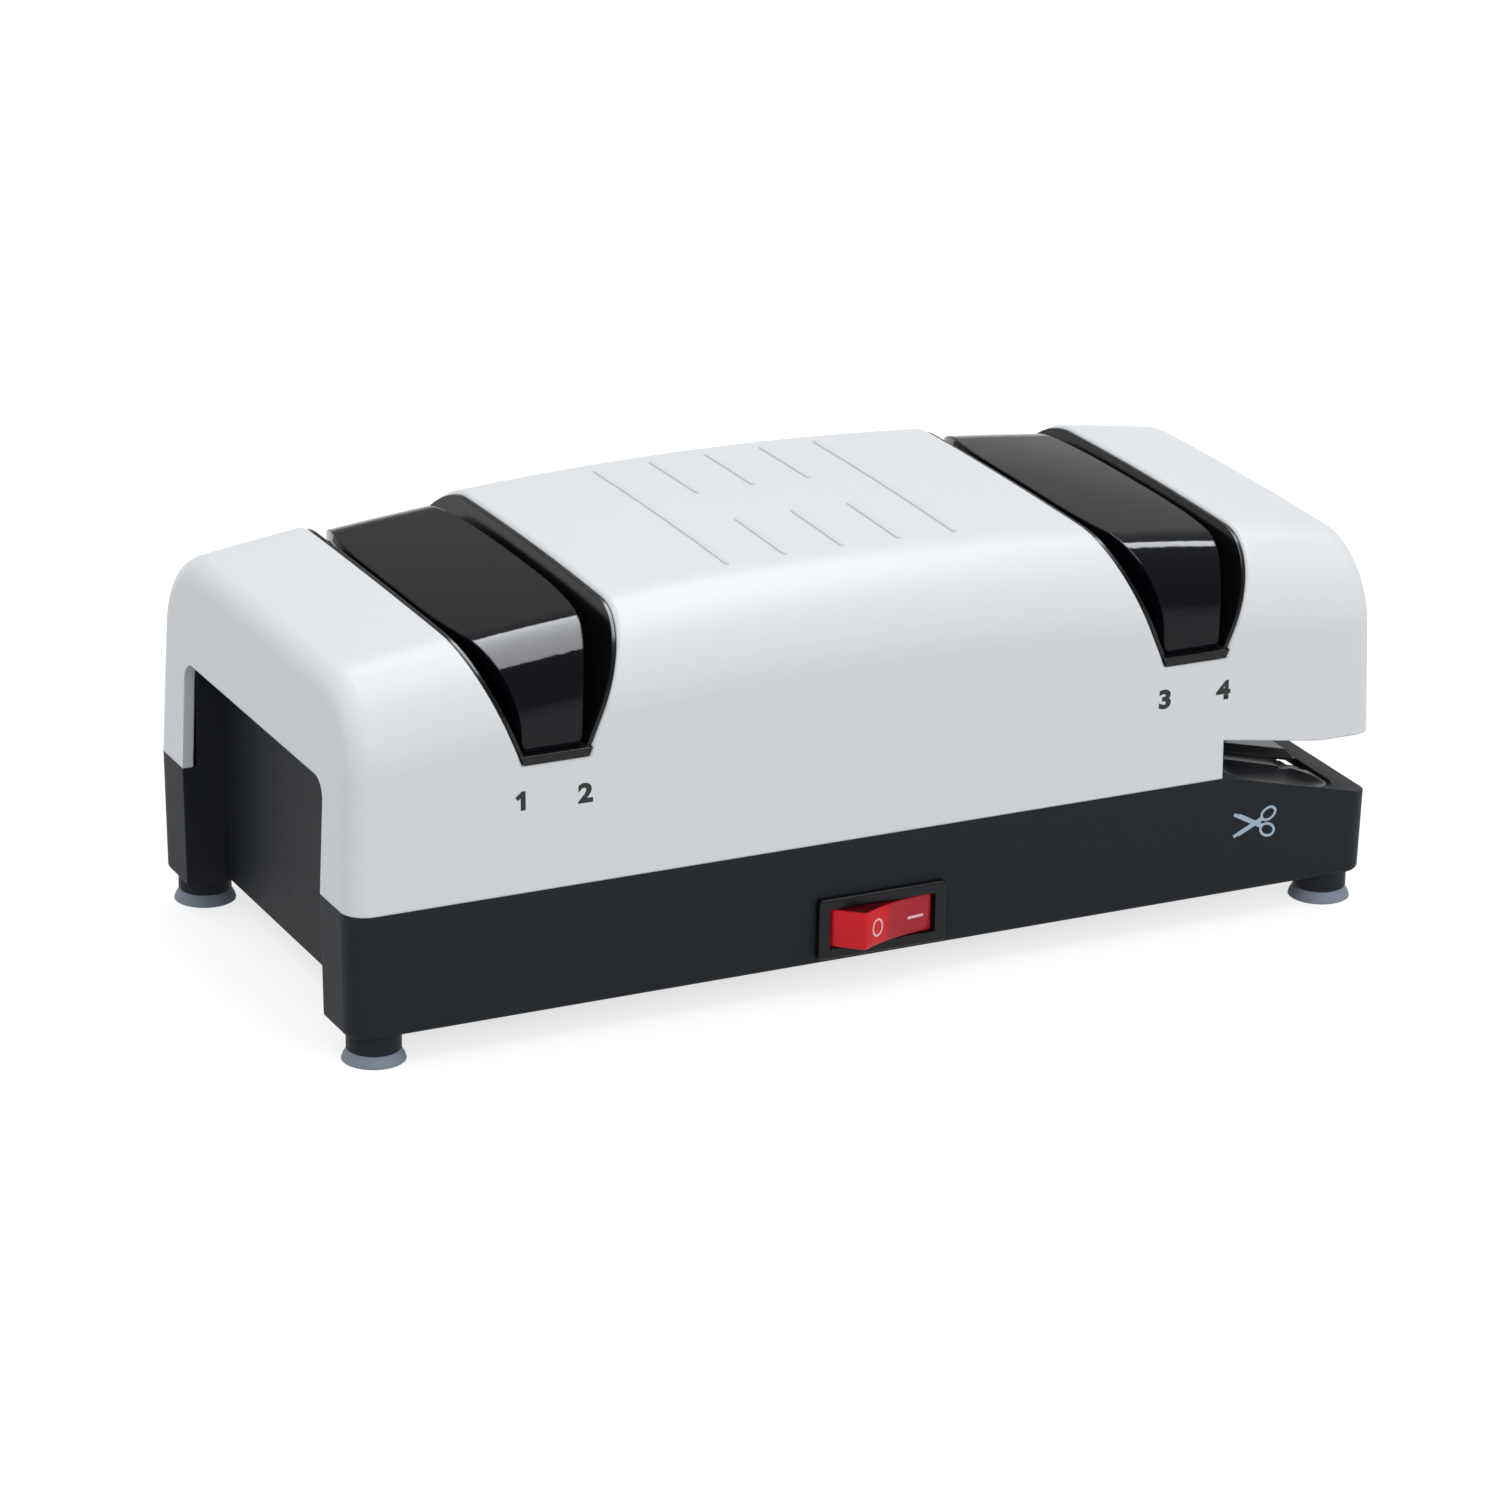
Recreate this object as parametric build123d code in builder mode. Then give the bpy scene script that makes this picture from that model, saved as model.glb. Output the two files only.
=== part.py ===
from build123d import *
import os
from math import asin, cos, degrees, radians, sin, sqrt, tan

# Two-stage electric knife sharpener with a scissor station, free-standing, in millimetres.
# X runs along the machine (coarse stage at -X, fine stage and scissor station at +X), the
# switch faces -Y, and Z = 0 is the table under the rubber feet. One motor in the middle turns
# one long shaft that carries a pair of spring-loaded abrasive discs in each stage.

# ---- housing ---------------------------------------------------------------------------------
overall_length = 250.0  # at the parting line
overall_depth = 113.7  # at the parting line
crown_height = 95.0  # highest point of the cover above the table
parting_z = 35.4
base_bottom = 6.9
cover_wall = 2.5
base_wall = 2.5
cover_draft = 1.8
base_draft = 1.4
arch_radius = 760.0  # lengthways arch of the roof
crown_radius = 1500.0  # crosswise crown of the roof
long_edge_above_notch = 11.2  # from the notches' floor to the middle of its rounding
end_edge_radius = 5.5
cut_out_half_width = 40.2  # hand recess in the left end
cut_out_top = 60.9
cut_out_corner = 4.5
left_recess_depth = 11.2
right_recess_depth = 17.6
lip_height = 3.0  # tongue of the base inside the cover
lip_thickness = 1.2
fit_gap = 0.15  # between pieces that are slipped together by hand
rib_count = 5
rib_pitch = 13.8
rib_reach = 34.5
rib_gap = 9.7  # bare strip between the short ribs, from the middle
rib_width = 0.9
rib_height = 0.35

# ---- scissor station -------------------------------------------------------------------------
gap_length = 39.8  # from the end of the cover's skirt to the right end
overhang_z = 44.5
overhang_low_z = 40.7
kink_from_skirt = 24.8
kink_radius = 30.0
hood_plate = 2.0
hood_slot_half_width = 8.5
hood_disc_half_width = 17.0
deck_end_z = 26.0  # height of the sloping deck at the right end
deck_thickness = 1.8
insert_start = 4.0  # guide insert, measured down the sloping deck
insert_end = 33.6
insert_from_side = 2.3
insert_corner = 8.0
tray_start = 2.6  # shallow tray at each end of the deck
tray_from_side = 0.95
tray_length = 21.5  # along Y
tray_corner = 8.0
tray_drop = 0.9  # how much its floor leaves the deck's slope by the right end
scoop_start = 11.0  # deeper scoop in the tray, to the middles of its round ends
scoop_end = 25.0
scoop_from_side = 8.9
scoop_radius = 14.0
scoop_depth = 2.4
scoop_floor = 0.9
hump_start = 6.0  # raised middle of the insert
hump_end = 33.0
hump_height = 1.5
hump_taper = 50.0
dish_start = 25.1  # shallow dish round the slot, in each tray
dish_depth = 0.9
dish_into_tray = 7.0
hole_start = 29.6
hole_into_tray = 2.7
hole_floor = 0.5  # plate left round the hole
lip_floor = 0.65  # plate left where the hump starts beside the hole
lip_length = 6.0
disc_opening_gap = 0.7
disc_opening_reach = 12.0

# ---- sharpening stages -----------------------------------------------------------------------
stage_inboard = 7.7  # fine stage from the end of the skirt
notch_bottom_z = 63.8
notch_half_bottom = 7.6
notch_edge_radius = 1.0
notch_slope = 0.42  # sideways run of the notch wall for each millimetre up
liner_wall = 0.9
liner_sink = 0.7  # liner edge below the cover's skin
liner_floor_z = 60.5
liner_floor_thickness = 2.0
liner_floor_half_width = 11.5
trough_from_side = 3.85
liner_floor_inset = 4.0
ledge_height = 2.1
ledge_proud = 0.4
guide_sink = 2.0  # guide skin below the cover's skin
guide_skin = 2.4
guide_lip = 1.2  # overhang of the skin over the side walls
guide_slit = 2.2  # between the skin and the notch wall, low down
guide_half_width = 14.6
guide_shoulder = (13.4, 32.0)  # half width and distance from the middle
guide_neck = (10.8, 45.0)
guide_nose = (5.8, 56.0)
guide_core_half_bottom = 4.0
magnet_bar = (5.0, 44.0, 7.0)
magnet_bar_z = 69.0
disc_slot_reach = 15.0
disc_slot_gap = 0.6

# ---- shaft, bearings and discs ---------------------------------------------------------------
shaft_z = 42.0
shaft_radius = 3.0
shaft_overrun_left = 18.5  # past the coarse stage
shaft_overrun_right = 7.0  # past the scissor disc's face
shaft_flat = 2.6  # half width across the drive flats
running_gap = 0.05
disc_radius = 20.5
disc_thickness = 2.4
disc_face = 5.6  # abrasive face from the stage centre
disc_edge = 0.5
hub_radius = 5.0
hub_inner_end = 1.3
hub_flange_radius = 8.5
hub_flange_thickness = 1.0
disc_float = 1.1  # how far a disc gives way along the shaft
clip_thickness = 0.8
clip_groove_radius = 2.4
clip_radius = 5.2
clip_mouth = 3.6
spring_wire_radius = 0.35
spring_coil_radius = 6.3
spring_turns = 2
bracket_inset = 0.6  # inside the end of the skirt
bracket_thickness = 2.4
bracket_half_width = 30.0
bracket_foot = 12.0
boss_radius = 6.9
bush_radius = 5.5
bush_length = 8.0
pad_inner_y = 24.0
pad_outer_y = 46.0
pad_thickness = 2.0
disc_from_skirt = 27.3
scissor_disc_radius = 14.5
scissor_disc_thickness = 2.5
scissor_hub_radius = 5.5
scissor_hub_length = 4.0
nut_radius = 5.0
nut_thickness = 3.5

# ---- motor -----------------------------------------------------------------------------------
can_radius = 26.0
can_left = -31.0
can_right = 29.0
can_wall = 2.0
motor_boss_radius = 7.5
motor_boss_length = 3.0
motor_bush_radius = 5.0
bell_length = 8.0
bell_plate = 4.0
air_gap = 0.8
core_x = -6.0
magnet_thickness = 4.4
core_half_length = 15.0
magnet_half_length = 18.0
magnet_arc = 130.0  # degrees spanned by each magnet
pole_count = 8
pole_slot_width = 5.0
pole_slot_floor = 8.5
winding_overhang = 4.5
winding_gap = 0.2
commutator_radius = 7.0
commutator_start = 14.4
commutator_length = 9.0
bar_count = 12
bar_groove = 0.5
brush_size = (5.0, 8.0, 6.0)
brush_holder_wall = 1.5
brush_holder_start = 9.0
fan_in_can = 4.0  # fan rim inside the can's radius
fan_hub_radius = 6.5
fan_clear = 4.0  # from the motor's left boss
fan_length = 8.0
fan_web = 1.4
fan_blades = 9
saddle_x = 18.0
saddle_thickness = 6.0
saddle_past_can = 8.0
saddle_top = 24.0
cradle_plate = 3.0
strap_thickness = 1.5
strap_screw_past_can = 4.6
strap_screw_radius = 1.5

# ---- switch ----------------------------------------------------------------------------------
switch_z = 15.6
bezel_length = 31.0
bezel_height = 14.0
bezel_proud = 1.8
bezel_corner = 0.8
bezel_opening_length = 25.7
bezel_opening_height = 9.2
switch_body_length = 27.0
switch_body_height = 11.4
switch_body_depth = 20.0
switch_hole_gap = 0.1
rocker_clearance = 0.3
rocker_height = 8.8
rocker_tail_angle = 34.0  # how far the round ends run behind the pivot, in degrees
rocker_dish = 0.35
rocker_sink = 0.2
rocker_travel = 22.0  # degrees from one side to the other
pivot_depth = 2.2  # pivot behind the bezel's face
pivot_pin_radius = 1.2
pivot_pin_reach = 0.8
terminal_size = (4.8, 8.0, 0.8)
terminal_pitch = 8.0

# ---- feet, fasteners and small parts -----------------------------------------------------------
foot_from_end = 8.4
foot_from_side = 7.55
foot_boss_radius = 6.0
foot_boss_bottom = 2.6
foot_lip_radius = 7.0
foot_stem_radius = 1.8
foot_stem_length = 5.4
foot_cup_radius = 5.4
foot_cup_depth = 1.3
screw_x = 48.0
screw_from_wall = 9.0
screw_post_radius = 4.2
screw_radius = 1.5
screw_clear_radius = 1.8
screw_head_radius = 3.0
screw_head_height = 2.2
screw_well_radius = 3.3
screw_seat_z = 17.0
screw_reach = 30.0
gland_x = 60.0
gland_z = 20.0
gland_bore_radius = 3.2
gland_neck_radius = 5.2
gland_flange_radius = 7.5
gland_flange = 1.8
gland_tail = 3.0
gland_tail_radius = 4.4
board_length = 56.0
board_from_cradle = 3.0
board_from_wall = 1.0
board_z = 15.0
board_thickness = 1.6
standoff_radius = 2.0
standoff_inset = 3.0
capacitor_height = 12.0
diode_radius = 1.4
diode_length = 5.2
diode_pitch = 5.0

# ---- sizes that follow -------------------------------------------------------------------------
half_length = overall_length / 2
long_edge_radius = crown_height - notch_bottom_z - long_edge_above_notch
can_inner = can_radius - can_wall
core_radius = can_inner - magnet_thickness - air_gap
fan_radius = can_radius - fan_in_can
saddle_half_width = can_radius + saddle_past_can
strap_screw_y = can_radius + strap_screw_past_can
half_depth = overall_depth / 2
floor_z = base_bottom + base_wall
arch_axis_z = crown_height - arch_radius
skirt_end = half_length - gap_length
overhang_kink = skirt_end + kink_from_skirt
stage_offset = skirt_end - stage_inboard
bracket_inner_face = skirt_end - bracket_inset
scissor_disc_x = skirt_end + disc_from_skirt
shaft_left = -stage_offset - shaft_overrun_left
shaft_right = scissor_disc_x + shaft_overrun_right
fan_start = can_left - motor_boss_length - fan_clear - fan_length
foot_x = half_length - foot_from_end
foot_y = half_depth - foot_from_side
stages = {"coarse": -stage_offset, "fine": stage_offset}
sides = {"left": -1, "right": 1}
deck_run = half_length - skirt_end
deck_angle = asin((parting_z - deck_end_z) / deck_run)
deck_plane = Plane(
    origin=(skirt_end, 0, parting_z),
    x_dir=(cos(deck_angle), 0, -sin(deck_angle)),
    z_dir=(sin(deck_angle), 0, cos(deck_angle)),
)
left_wall_x = -half_length + left_recess_depth
right_wall_x = half_length - right_recess_depth
base_inner_half_depth = half_depth - cover_wall - fit_gap - lip_thickness
screw_y = base_inner_half_depth - screw_from_wall
board_outer_y = base_inner_half_depth - board_from_wall
board_inner_y = saddle_half_width + board_from_cradle
board_y = (board_outer_y + board_inner_y) / 2
board_width = board_outer_y - board_inner_y
capacitor_radius = board_width / 3
insert_reach = half_depth - insert_from_side
tray_outer_y = half_depth - tray_from_side
tray_inner_y = tray_outer_y - tray_length
scoop_y = half_depth - scoop_from_side
scoop_half_width = sqrt(scoop_radius**2 - (scoop_radius - scoop_depth) ** 2)
liner_trough_reach = half_depth - trough_from_side
liner_floor_reach = liner_trough_reach - liner_floor_inset
base_slope = tan(radians(base_draft))
cover_slope = tan(radians(cover_draft))
wing_top = overhang_z + 1
wing_reach = half_depth - cover_wall - cover_slope * (wing_top - parting_z) - 0.1
partition_face = bracket_inner_face + bracket_thickness
bracket_top = liner_floor_z - liner_floor_thickness
spring_end = disc_face - disc_thickness - hub_flange_thickness
bezel_back_y = -half_depth + base_slope * (parting_z - switch_z - bezel_height / 2)
bezel_face_y = bezel_back_y - bezel_proud
pivot_y = bezel_face_y + pivot_depth
gland_wall_y = half_depth - base_slope * (parting_z - gland_z - gland_flange_radius)
rocker_radius = bezel_opening_length / 2 - rocker_clearance
far = overall_length  # reach of a cutter that runs right through

os.makedirs("parts", exist_ok=True)


def keep(name, part):
    """Label a finished piece and write it."""
    part.label = name
    export_step(part, f"parts/{name}.step")


def notch_half(z):
    """Half width of a stage's notch at a height."""
    return notch_half_bottom + notch_slope * (z - notch_bottom_z)


def deck_z(x):
    """Height of the sloping deck."""
    return parting_z - (x - skirt_end) * tan(deck_angle)


def hood_z(x):
    """Height of the underside of the cover's overhang, left of its kink."""
    return overhang_z + (overhang_low_z - overhang_z) * (x - skirt_end) / (overhang_kink - skirt_end)


def crowned_block(inset):
    """The cover's outer form, or with an inset the same form that much further in."""
    with BuildPart() as block:
        with BuildSketch(Plane.XY.offset(parting_z)):
            Rectangle(overall_length - 2 * inset, overall_depth - 2 * inset)
        extrude(amount=crown_height - parting_z + 1, taper=cover_draft)
        swing = 12.0
        start = Plane(
            origin=(0, 0, arch_axis_z),
            x_dir=(0, 1, 0),
            z_dir=(cos(radians(swing)), 0, sin(radians(swing))),
        )
        top = arch_radius - inset
        reach = half_depth + 10
        edge = top - crown_radius + sqrt(crown_radius**2 - reach**2)
        with BuildSketch(start):
            with BuildLine():
                ThreePointArc((-reach, edge), (0, top), (reach, edge))
                Polyline(
                    (reach, edge),
                    (reach, top - crown_height),
                    (-reach, top - crown_height),
                    (-reach, edge),
                )
            make_face()
        revolve(
            axis=Axis((0, 0, arch_axis_z), (0, 1, 0)),
            revolution_arc=2 * swing,
            mode=Mode.INTERSECT,
        )
        roof = block.faces().sort_by(Axis.Z)[-1]
        fillet(roof.edges().sort_by(SortBy.LENGTH)[-2:], long_edge_radius - inset)
        ends = block.faces().sort_by(Axis.X)
        for end in (ends[0], ends[-1]):
            rim = end.edges().filter_by(lambda e: e.center().Z > parting_z + 1)
            fillet(rim, end_edge_radius - min(inset, cover_wall))
    return block.part


def cylinder_x(radius, start, end, mode=Mode.ADD):
    """A round about the shaft's axis between two X positions, inside the open part."""
    with BuildSketch(Plane.YZ.offset(start)) as section:
        with Locations((0, shaft_z)):
            Circle(radius)
    extrude(section.sketch, amount=end - start, mode=mode)


def box_between(low, high, mode=Mode.ADD):
    """A block between two opposite corners, inside the open part."""
    with BuildSketch(Plane.XY.offset(low[2])) as section:
        with Locations(((low[0] + high[0]) / 2, (low[1] + high[1]) / 2)):
            Rectangle(high[0] - low[0], high[1] - low[1])
    extrude(section.sketch, amount=high[2] - low[2], mode=mode)


def profile_xz(points, low_y, high_y, mode=Mode.ADD):
    """A closed XZ outline run along Y between two positions, inside the open part."""
    with BuildSketch(Plane.XZ.offset(-low_y)) as section:
        with BuildLine():
            Polyline(*points, close=True)
        make_face()
    extrude(section.sketch, amount=low_y - high_y, mode=mode)


outer_form = crowned_block(0)
inner_form = crowned_block(cover_wall)

# ---- top cover ---------------------------------------------------------------------------------
with BuildPart() as grip_ribs:
    with BuildSketch(Plane.XY.offset(crown_height - 2 * long_edge_radius / 3)):
        for index in range(rib_count):
            x = (index - (rib_count - 1) / 2) * rib_pitch
            if index in (0, rib_count - 1):
                with Locations((x, 0)):
                    SlotOverall(2 * rib_reach, rib_width, rotation=90)
            else:
                for way in (-1, 1):
                    with Locations((x, way * (rib_reach + rib_gap) / 2)):
                        SlotOverall(rib_reach - rib_gap, rib_width, rotation=90)
    extrude(amount=long_edge_radius)
    add(crowned_block(-rib_height), mode=Mode.INTERSECT)

# screw bosses that meet the posts of the base
with BuildPart() as cover_bosses:
    with BuildSketch(Plane.XY.offset(parting_z + fit_gap)):
        with GridLocations(2 * screw_x, 2 * screw_y, 2, 2):
            Circle(screw_post_radius)
    extrude(amount=crown_height - parting_z)
    add(crowned_block(cover_wall / 2), mode=Mode.INTERSECT)

with BuildPart() as top_cover:
    add(outer_form)
    for centre in stages.values():
        low, high = notch_half(notch_bottom_z), notch_half(crown_height + 3)
        profile_xz(
            [
                (centre - low, notch_bottom_z),
                (centre + low, notch_bottom_z),
                (centre + high, crown_height + 3),
                (centre - high, crown_height + 3),
            ],
            -far,
            far,
            Mode.SUBTRACT,
        )
    notch_rims = []
    for centre in stages.values():
        for edge in top_cover.edges():
            middle = edge.center()
            off_wall = abs(abs(middle.X - centre) - notch_half(middle.Z))
            if middle.Z > notch_bottom_z + 0.1 and off_wall < notch_edge_radius / 2:
                notch_rims.append(edge)
    fillet(notch_rims, notch_edge_radius)
    add(grip_ribs.part)
    add(inner_form, mode=Mode.SUBTRACT)
    # hand recess in the left end
    with BuildSketch(Plane.YZ.offset(-half_length - 1)) as cut_out:
        Rectangle(2 * cut_out_half_width, 2 * cut_out_top)
        fillet(cut_out.vertices().group_by(Axis.Y)[-1], cut_out_corner)
    extrude(amount=left_recess_depth, mode=Mode.SUBTRACT)
    # scissor gap under the right end
    with BuildSketch(Plane.XZ) as gap:
        with BuildLine():
            Polyline(
                (skirt_end, 0),
                (skirt_end, overhang_z),
                (overhang_kink, overhang_low_z),
                (half_length + 5, overhang_low_z),
                (half_length + 5, 0),
                close=True,
            )
        make_face()
        kink = gap.vertices().sort_by_distance((overhang_kink, overhang_low_z, 0))[0]
        fillet(kink, kink_radius)
    extrude(amount=far, both=True, mode=Mode.SUBTRACT)
    # plate that closes the hood over the scissor gap, slotted for the disc and the shaft
    hood_start, hood_end = partition_face + fit_gap, half_length - cover_wall - 1
    profile_xz(
        [
            (hood_start, hood_z(hood_start)),
            (overhang_kink, overhang_low_z),
            (half_length - 1.5, overhang_low_z),
            (half_length - 1.5, overhang_low_z + hood_plate),
            (overhang_kink, overhang_low_z + hood_plate),
            (hood_start, hood_z(hood_start) + hood_plate),
        ],
        -wing_reach,
        wing_reach,
    )
    box_between(
        (hood_start - 1, -hood_slot_half_width, 0),
        (hood_end - 2, hood_slot_half_width, overhang_z + 2 * hood_plate),
        Mode.SUBTRACT,
    )
    box_between(
        (scissor_disc_x - scissor_hub_length, -hood_disc_half_width, 0),
        (
            scissor_disc_x + scissor_disc_thickness + nut_thickness,
            hood_disc_half_width,
            overhang_z + 2 * hood_plate,
        ),
        Mode.SUBTRACT,
    )
    add(cover_bosses.part)
    with BuildSketch(Plane.XY.offset(parting_z)):
        with GridLocations(2 * screw_x, 2 * screw_y, 2, 2):
            Circle(screw_radius)
    extrude(amount=screw_reach, mode=Mode.SUBTRACT)
keep("top_cover", top_cover.part)

# ---- base housing ------------------------------------------------------------------------------
def scoops():
    """Hollows at both ends of the deck that lead a scissor blade to the slot."""
    with BuildPart() as hollows:
        with BuildSketch(deck_plane.offset(1)):
            middle = (tray_inner_y + tray_outer_y) / 2
            with Locations(((tray_start + insert_end) / 2, 0)):
                with Locations((0, middle), (0, -middle)):
                    RectangleRounded(insert_end - tray_start, tray_length, tray_corner)
        extrude(amount=-1 - 2 * deck_thickness)
        profile_xz(
            [
                (skirt_end, parting_z),
                (half_length, deck_end_z - tray_drop),
                (half_length, crown_height),
                (skirt_end, crown_height),
            ],
            -half_depth,
            half_depth,
            Mode.INTERSECT,
        )
        lift = scoop_radius - scoop_depth
        for way in (-1, 1):
            for end in (scoop_start, scoop_end):
                with Locations(deck_plane.location * Pos(end, way * scoop_y, lift)):
                    Sphere(scoop_radius)
            with Locations(
                deck_plane.location * Pos((scoop_start + scoop_end) / 2, way * scoop_y, lift)
            ):
                Cylinder(scoop_radius, scoop_end - scoop_start, rotation=(0, 90, 0))
        with BuildSketch(deck_plane.offset(-scoop_radius)):
            Rectangle(far, far)
        extrude(amount=scoop_radius + 1, mode=Mode.INTERSECT)
    return hollows.part


def scoop_pads(growth):
    """Thick parts of the insert under the scoops, or with a growth their room in the base."""
    outer = base_inner_half_depth - 2 * fit_gap + growth
    inner = scoop_y - scoop_half_width + deck_thickness - growth
    start = insert_start + fit_gap - growth
    end = scoop_end + scoop_half_width - deck_thickness + growth
    with BuildPart() as pads:
        with BuildSketch(deck_plane.offset(-deck_thickness / 2)):
            with Locations(((start + end) / 2, 0)):
                with Locations((0, (inner + outer) / 2), (0, -(inner + outer) / 2)):
                    Rectangle(end - start, outer - inner)
        extrude(amount=deck_thickness / 2 - scoop_depth - scoop_floor - growth)
    return pads.part


with BuildPart() as base_housing:
    inset = base_slope * (parting_z - base_bottom)
    with BuildSketch(Plane.XY.offset(base_bottom)):
        RectangleRounded(
            overall_length - 2 * inset, overall_depth - 2 * inset, end_edge_radius - inset
        )
    extrude(amount=parting_z - base_bottom, taper=-base_draft)
    fillet(base_housing.faces().sort_by(Axis.Z)[0].edges(), 1.2)
    # sloping deck of the scissor station
    profile_xz(
        [
            (skirt_end, parting_z),
            (half_length + 5, deck_z(half_length + 5)),
            (half_length + 5, parting_z + 1),
            (skirt_end, parting_z + 1),
        ],
        -far,
        far,
        Mode.SUBTRACT,
    )
    # main hollow, open at the top as far as the partition, then roofed by the deck
    left_in = left_wall_x + base_wall
    right_in = right_wall_x - base_wall
    deck_start = partition_face + fit_gap
    profile_xz(
        [
            (left_in, floor_z),
            (right_in, floor_z),
            (right_in, deck_z(right_in) - deck_thickness),
            (deck_start, deck_z(deck_start) - deck_thickness),
            (deck_start, parting_z + 1),
            (left_in, parting_z + 1),
        ],
        -base_inner_half_depth,
        base_inner_half_depth,
        Mode.SUBTRACT,
    )
    # hollow legs beside both recesses
    leg_inner_y = cut_out_half_width + base_wall
    end_in = half_length - cover_wall - base_wall
    for way in (-1, 1):
        near, deep = sorted((way * leg_inner_y, way * base_inner_half_depth))
        box_between((-end_in, near, floor_z), (left_in, deep, parting_z + 1), Mode.SUBTRACT)
        profile_xz(
            [
                (right_in, floor_z),
                (end_in, floor_z),
                (end_in, deck_z(end_in) - deck_thickness),
                (right_in, deck_z(right_in) - deck_thickness),
            ],
            near,
            deep,
            Mode.SUBTRACT,
        )
    # recesses between the legs, open below
    box_between(
        (-half_length - 5, -cut_out_half_width, 0),
        (left_wall_x, cut_out_half_width, cut_out_top),
        Mode.SUBTRACT,
    )
    profile_xz(
        [
            (right_wall_x, 0),
            (half_length + 5, 0),
            (half_length + 5, deck_z(half_length + 5) - deck_thickness),
            (right_wall_x, deck_z(right_wall_x) - deck_thickness),
        ],
        -cut_out_half_width,
        cut_out_half_width,
        Mode.SUBTRACT,
    )
    # five-sided box of the left recess, standing up inside the cover
    box_start = -half_length + cover_wall + cover_slope * (cut_out_top - parting_z)
    with BuildSketch(Plane.YZ.offset(box_start + fit_gap)) as recess_box:
        Rectangle(2 * leg_inner_y, 2 * (cut_out_top + base_wall))
        fillet(recess_box.vertices().group_by(Axis.Y)[-1], cut_out_corner + base_wall)
        with BuildSketch(Plane.YZ.offset(box_start + fit_gap), mode=Mode.SUBTRACT) as hollow:
            Rectangle(2 * cut_out_half_width, 2 * cut_out_top)
            fillet(hollow.vertices().group_by(Axis.Y)[-1], cut_out_corner)
        with Locations((0, -leg_inner_y)):
            Rectangle(far, 2 * (leg_inner_y + parting_z), mode=Mode.SUBTRACT)
    extrude(amount=left_wall_x - box_start - fit_gap)
    with BuildSketch(Plane.YZ.offset(left_wall_x)) as end_wall:
        Rectangle(2 * leg_inner_y, 2 * (cut_out_top + base_wall))
        fillet(end_wall.vertices().group_by(Axis.Y)[-1], cut_out_corner + base_wall)
        with Locations((0, -far / 2 + parting_z - 1)):
            Rectangle(far, far, mode=Mode.SUBTRACT)
    extrude(amount=base_wall)
    # tongue inside the cover's skirt
    for way in (-1, 1):
        inner_y, outer_y = base_inner_half_depth, base_inner_half_depth + lip_thickness
        near, deep = sorted((way * inner_y, way * outer_y))
        box_between((left_in, near, parting_z - 1), (skirt_end, deep, parting_z + lip_height))
    # posts for the cover screws, with wells from below
    with BuildSketch(Plane.XY.offset(floor_z)):
        with GridLocations(2 * screw_x, 2 * screw_y, 2, 2):
            Circle(screw_post_radius + 1)
    extrude(amount=parting_z - floor_z)
    with BuildSketch(Plane.XY.offset(base_bottom)):
        with GridLocations(2 * screw_x, 2 * screw_y, 2, 2):
            Circle(screw_well_radius)
    extrude(amount=screw_seat_z - base_bottom, mode=Mode.SUBTRACT)
    with BuildSketch(Plane.XY.offset(screw_seat_z)):
        with GridLocations(2 * screw_x, 2 * screw_y, 2, 2):
            Circle(screw_clear_radius)
    extrude(amount=parting_z, mode=Mode.SUBTRACT)
    # foot bosses with holes for the rubber stems
    with BuildSketch(Plane.XY.offset(foot_boss_bottom)):
        with GridLocations(2 * foot_x, 2 * foot_y, 2, 2):
            Circle(foot_boss_radius)
    extrude(amount=base_bottom + 1.5 - foot_boss_bottom)
    with BuildSketch(Plane.XY.offset(foot_boss_bottom)):
        with GridLocations(2 * foot_x, 2 * foot_y, 2, 2):
            Circle(foot_stem_radius)
    extrude(amount=foot_stem_length, mode=Mode.SUBTRACT)
    # board standoffs
    with BuildSketch(Plane.XY.offset(floor_z)):
        with Locations((0, board_y)):
            with GridLocations(
                board_length - 2 * standoff_inset, board_width - 2 * standoff_inset, 2, 2
            ):
                Circle(standoff_radius)
    extrude(amount=board_z - floor_z)
    # switch hole, cord hole and the opening for the scissor guide
    with BuildSketch(Plane.XZ.offset(base_inner_half_depth - 1)):
        with Locations((0, switch_z)):
            Rectangle(
                switch_body_length + 2 * switch_hole_gap,
                switch_body_height + 2 * switch_hole_gap,
            )
    extrude(amount=10, mode=Mode.SUBTRACT)
    with BuildSketch(Plane.XZ.offset(-base_inner_half_depth + 1)):
        with Locations((gland_x, gland_z)):
            Circle(gland_neck_radius + fit_gap)
    extrude(amount=-10, mode=Mode.SUBTRACT)
    with BuildSketch(deck_plane.offset(1)):
        with Locations(((insert_start + insert_end) / 2, 0)):
            RectangleRounded(insert_end - insert_start, 2 * insert_reach, insert_corner)
    extrude(amount=-deck_thickness - 1, mode=Mode.SUBTRACT)
    add(scoop_pads(fit_gap), mode=Mode.SUBTRACT)
    add(scoops(), mode=Mode.SUBTRACT)
keep("base_housing", base_housing.part)

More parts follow.
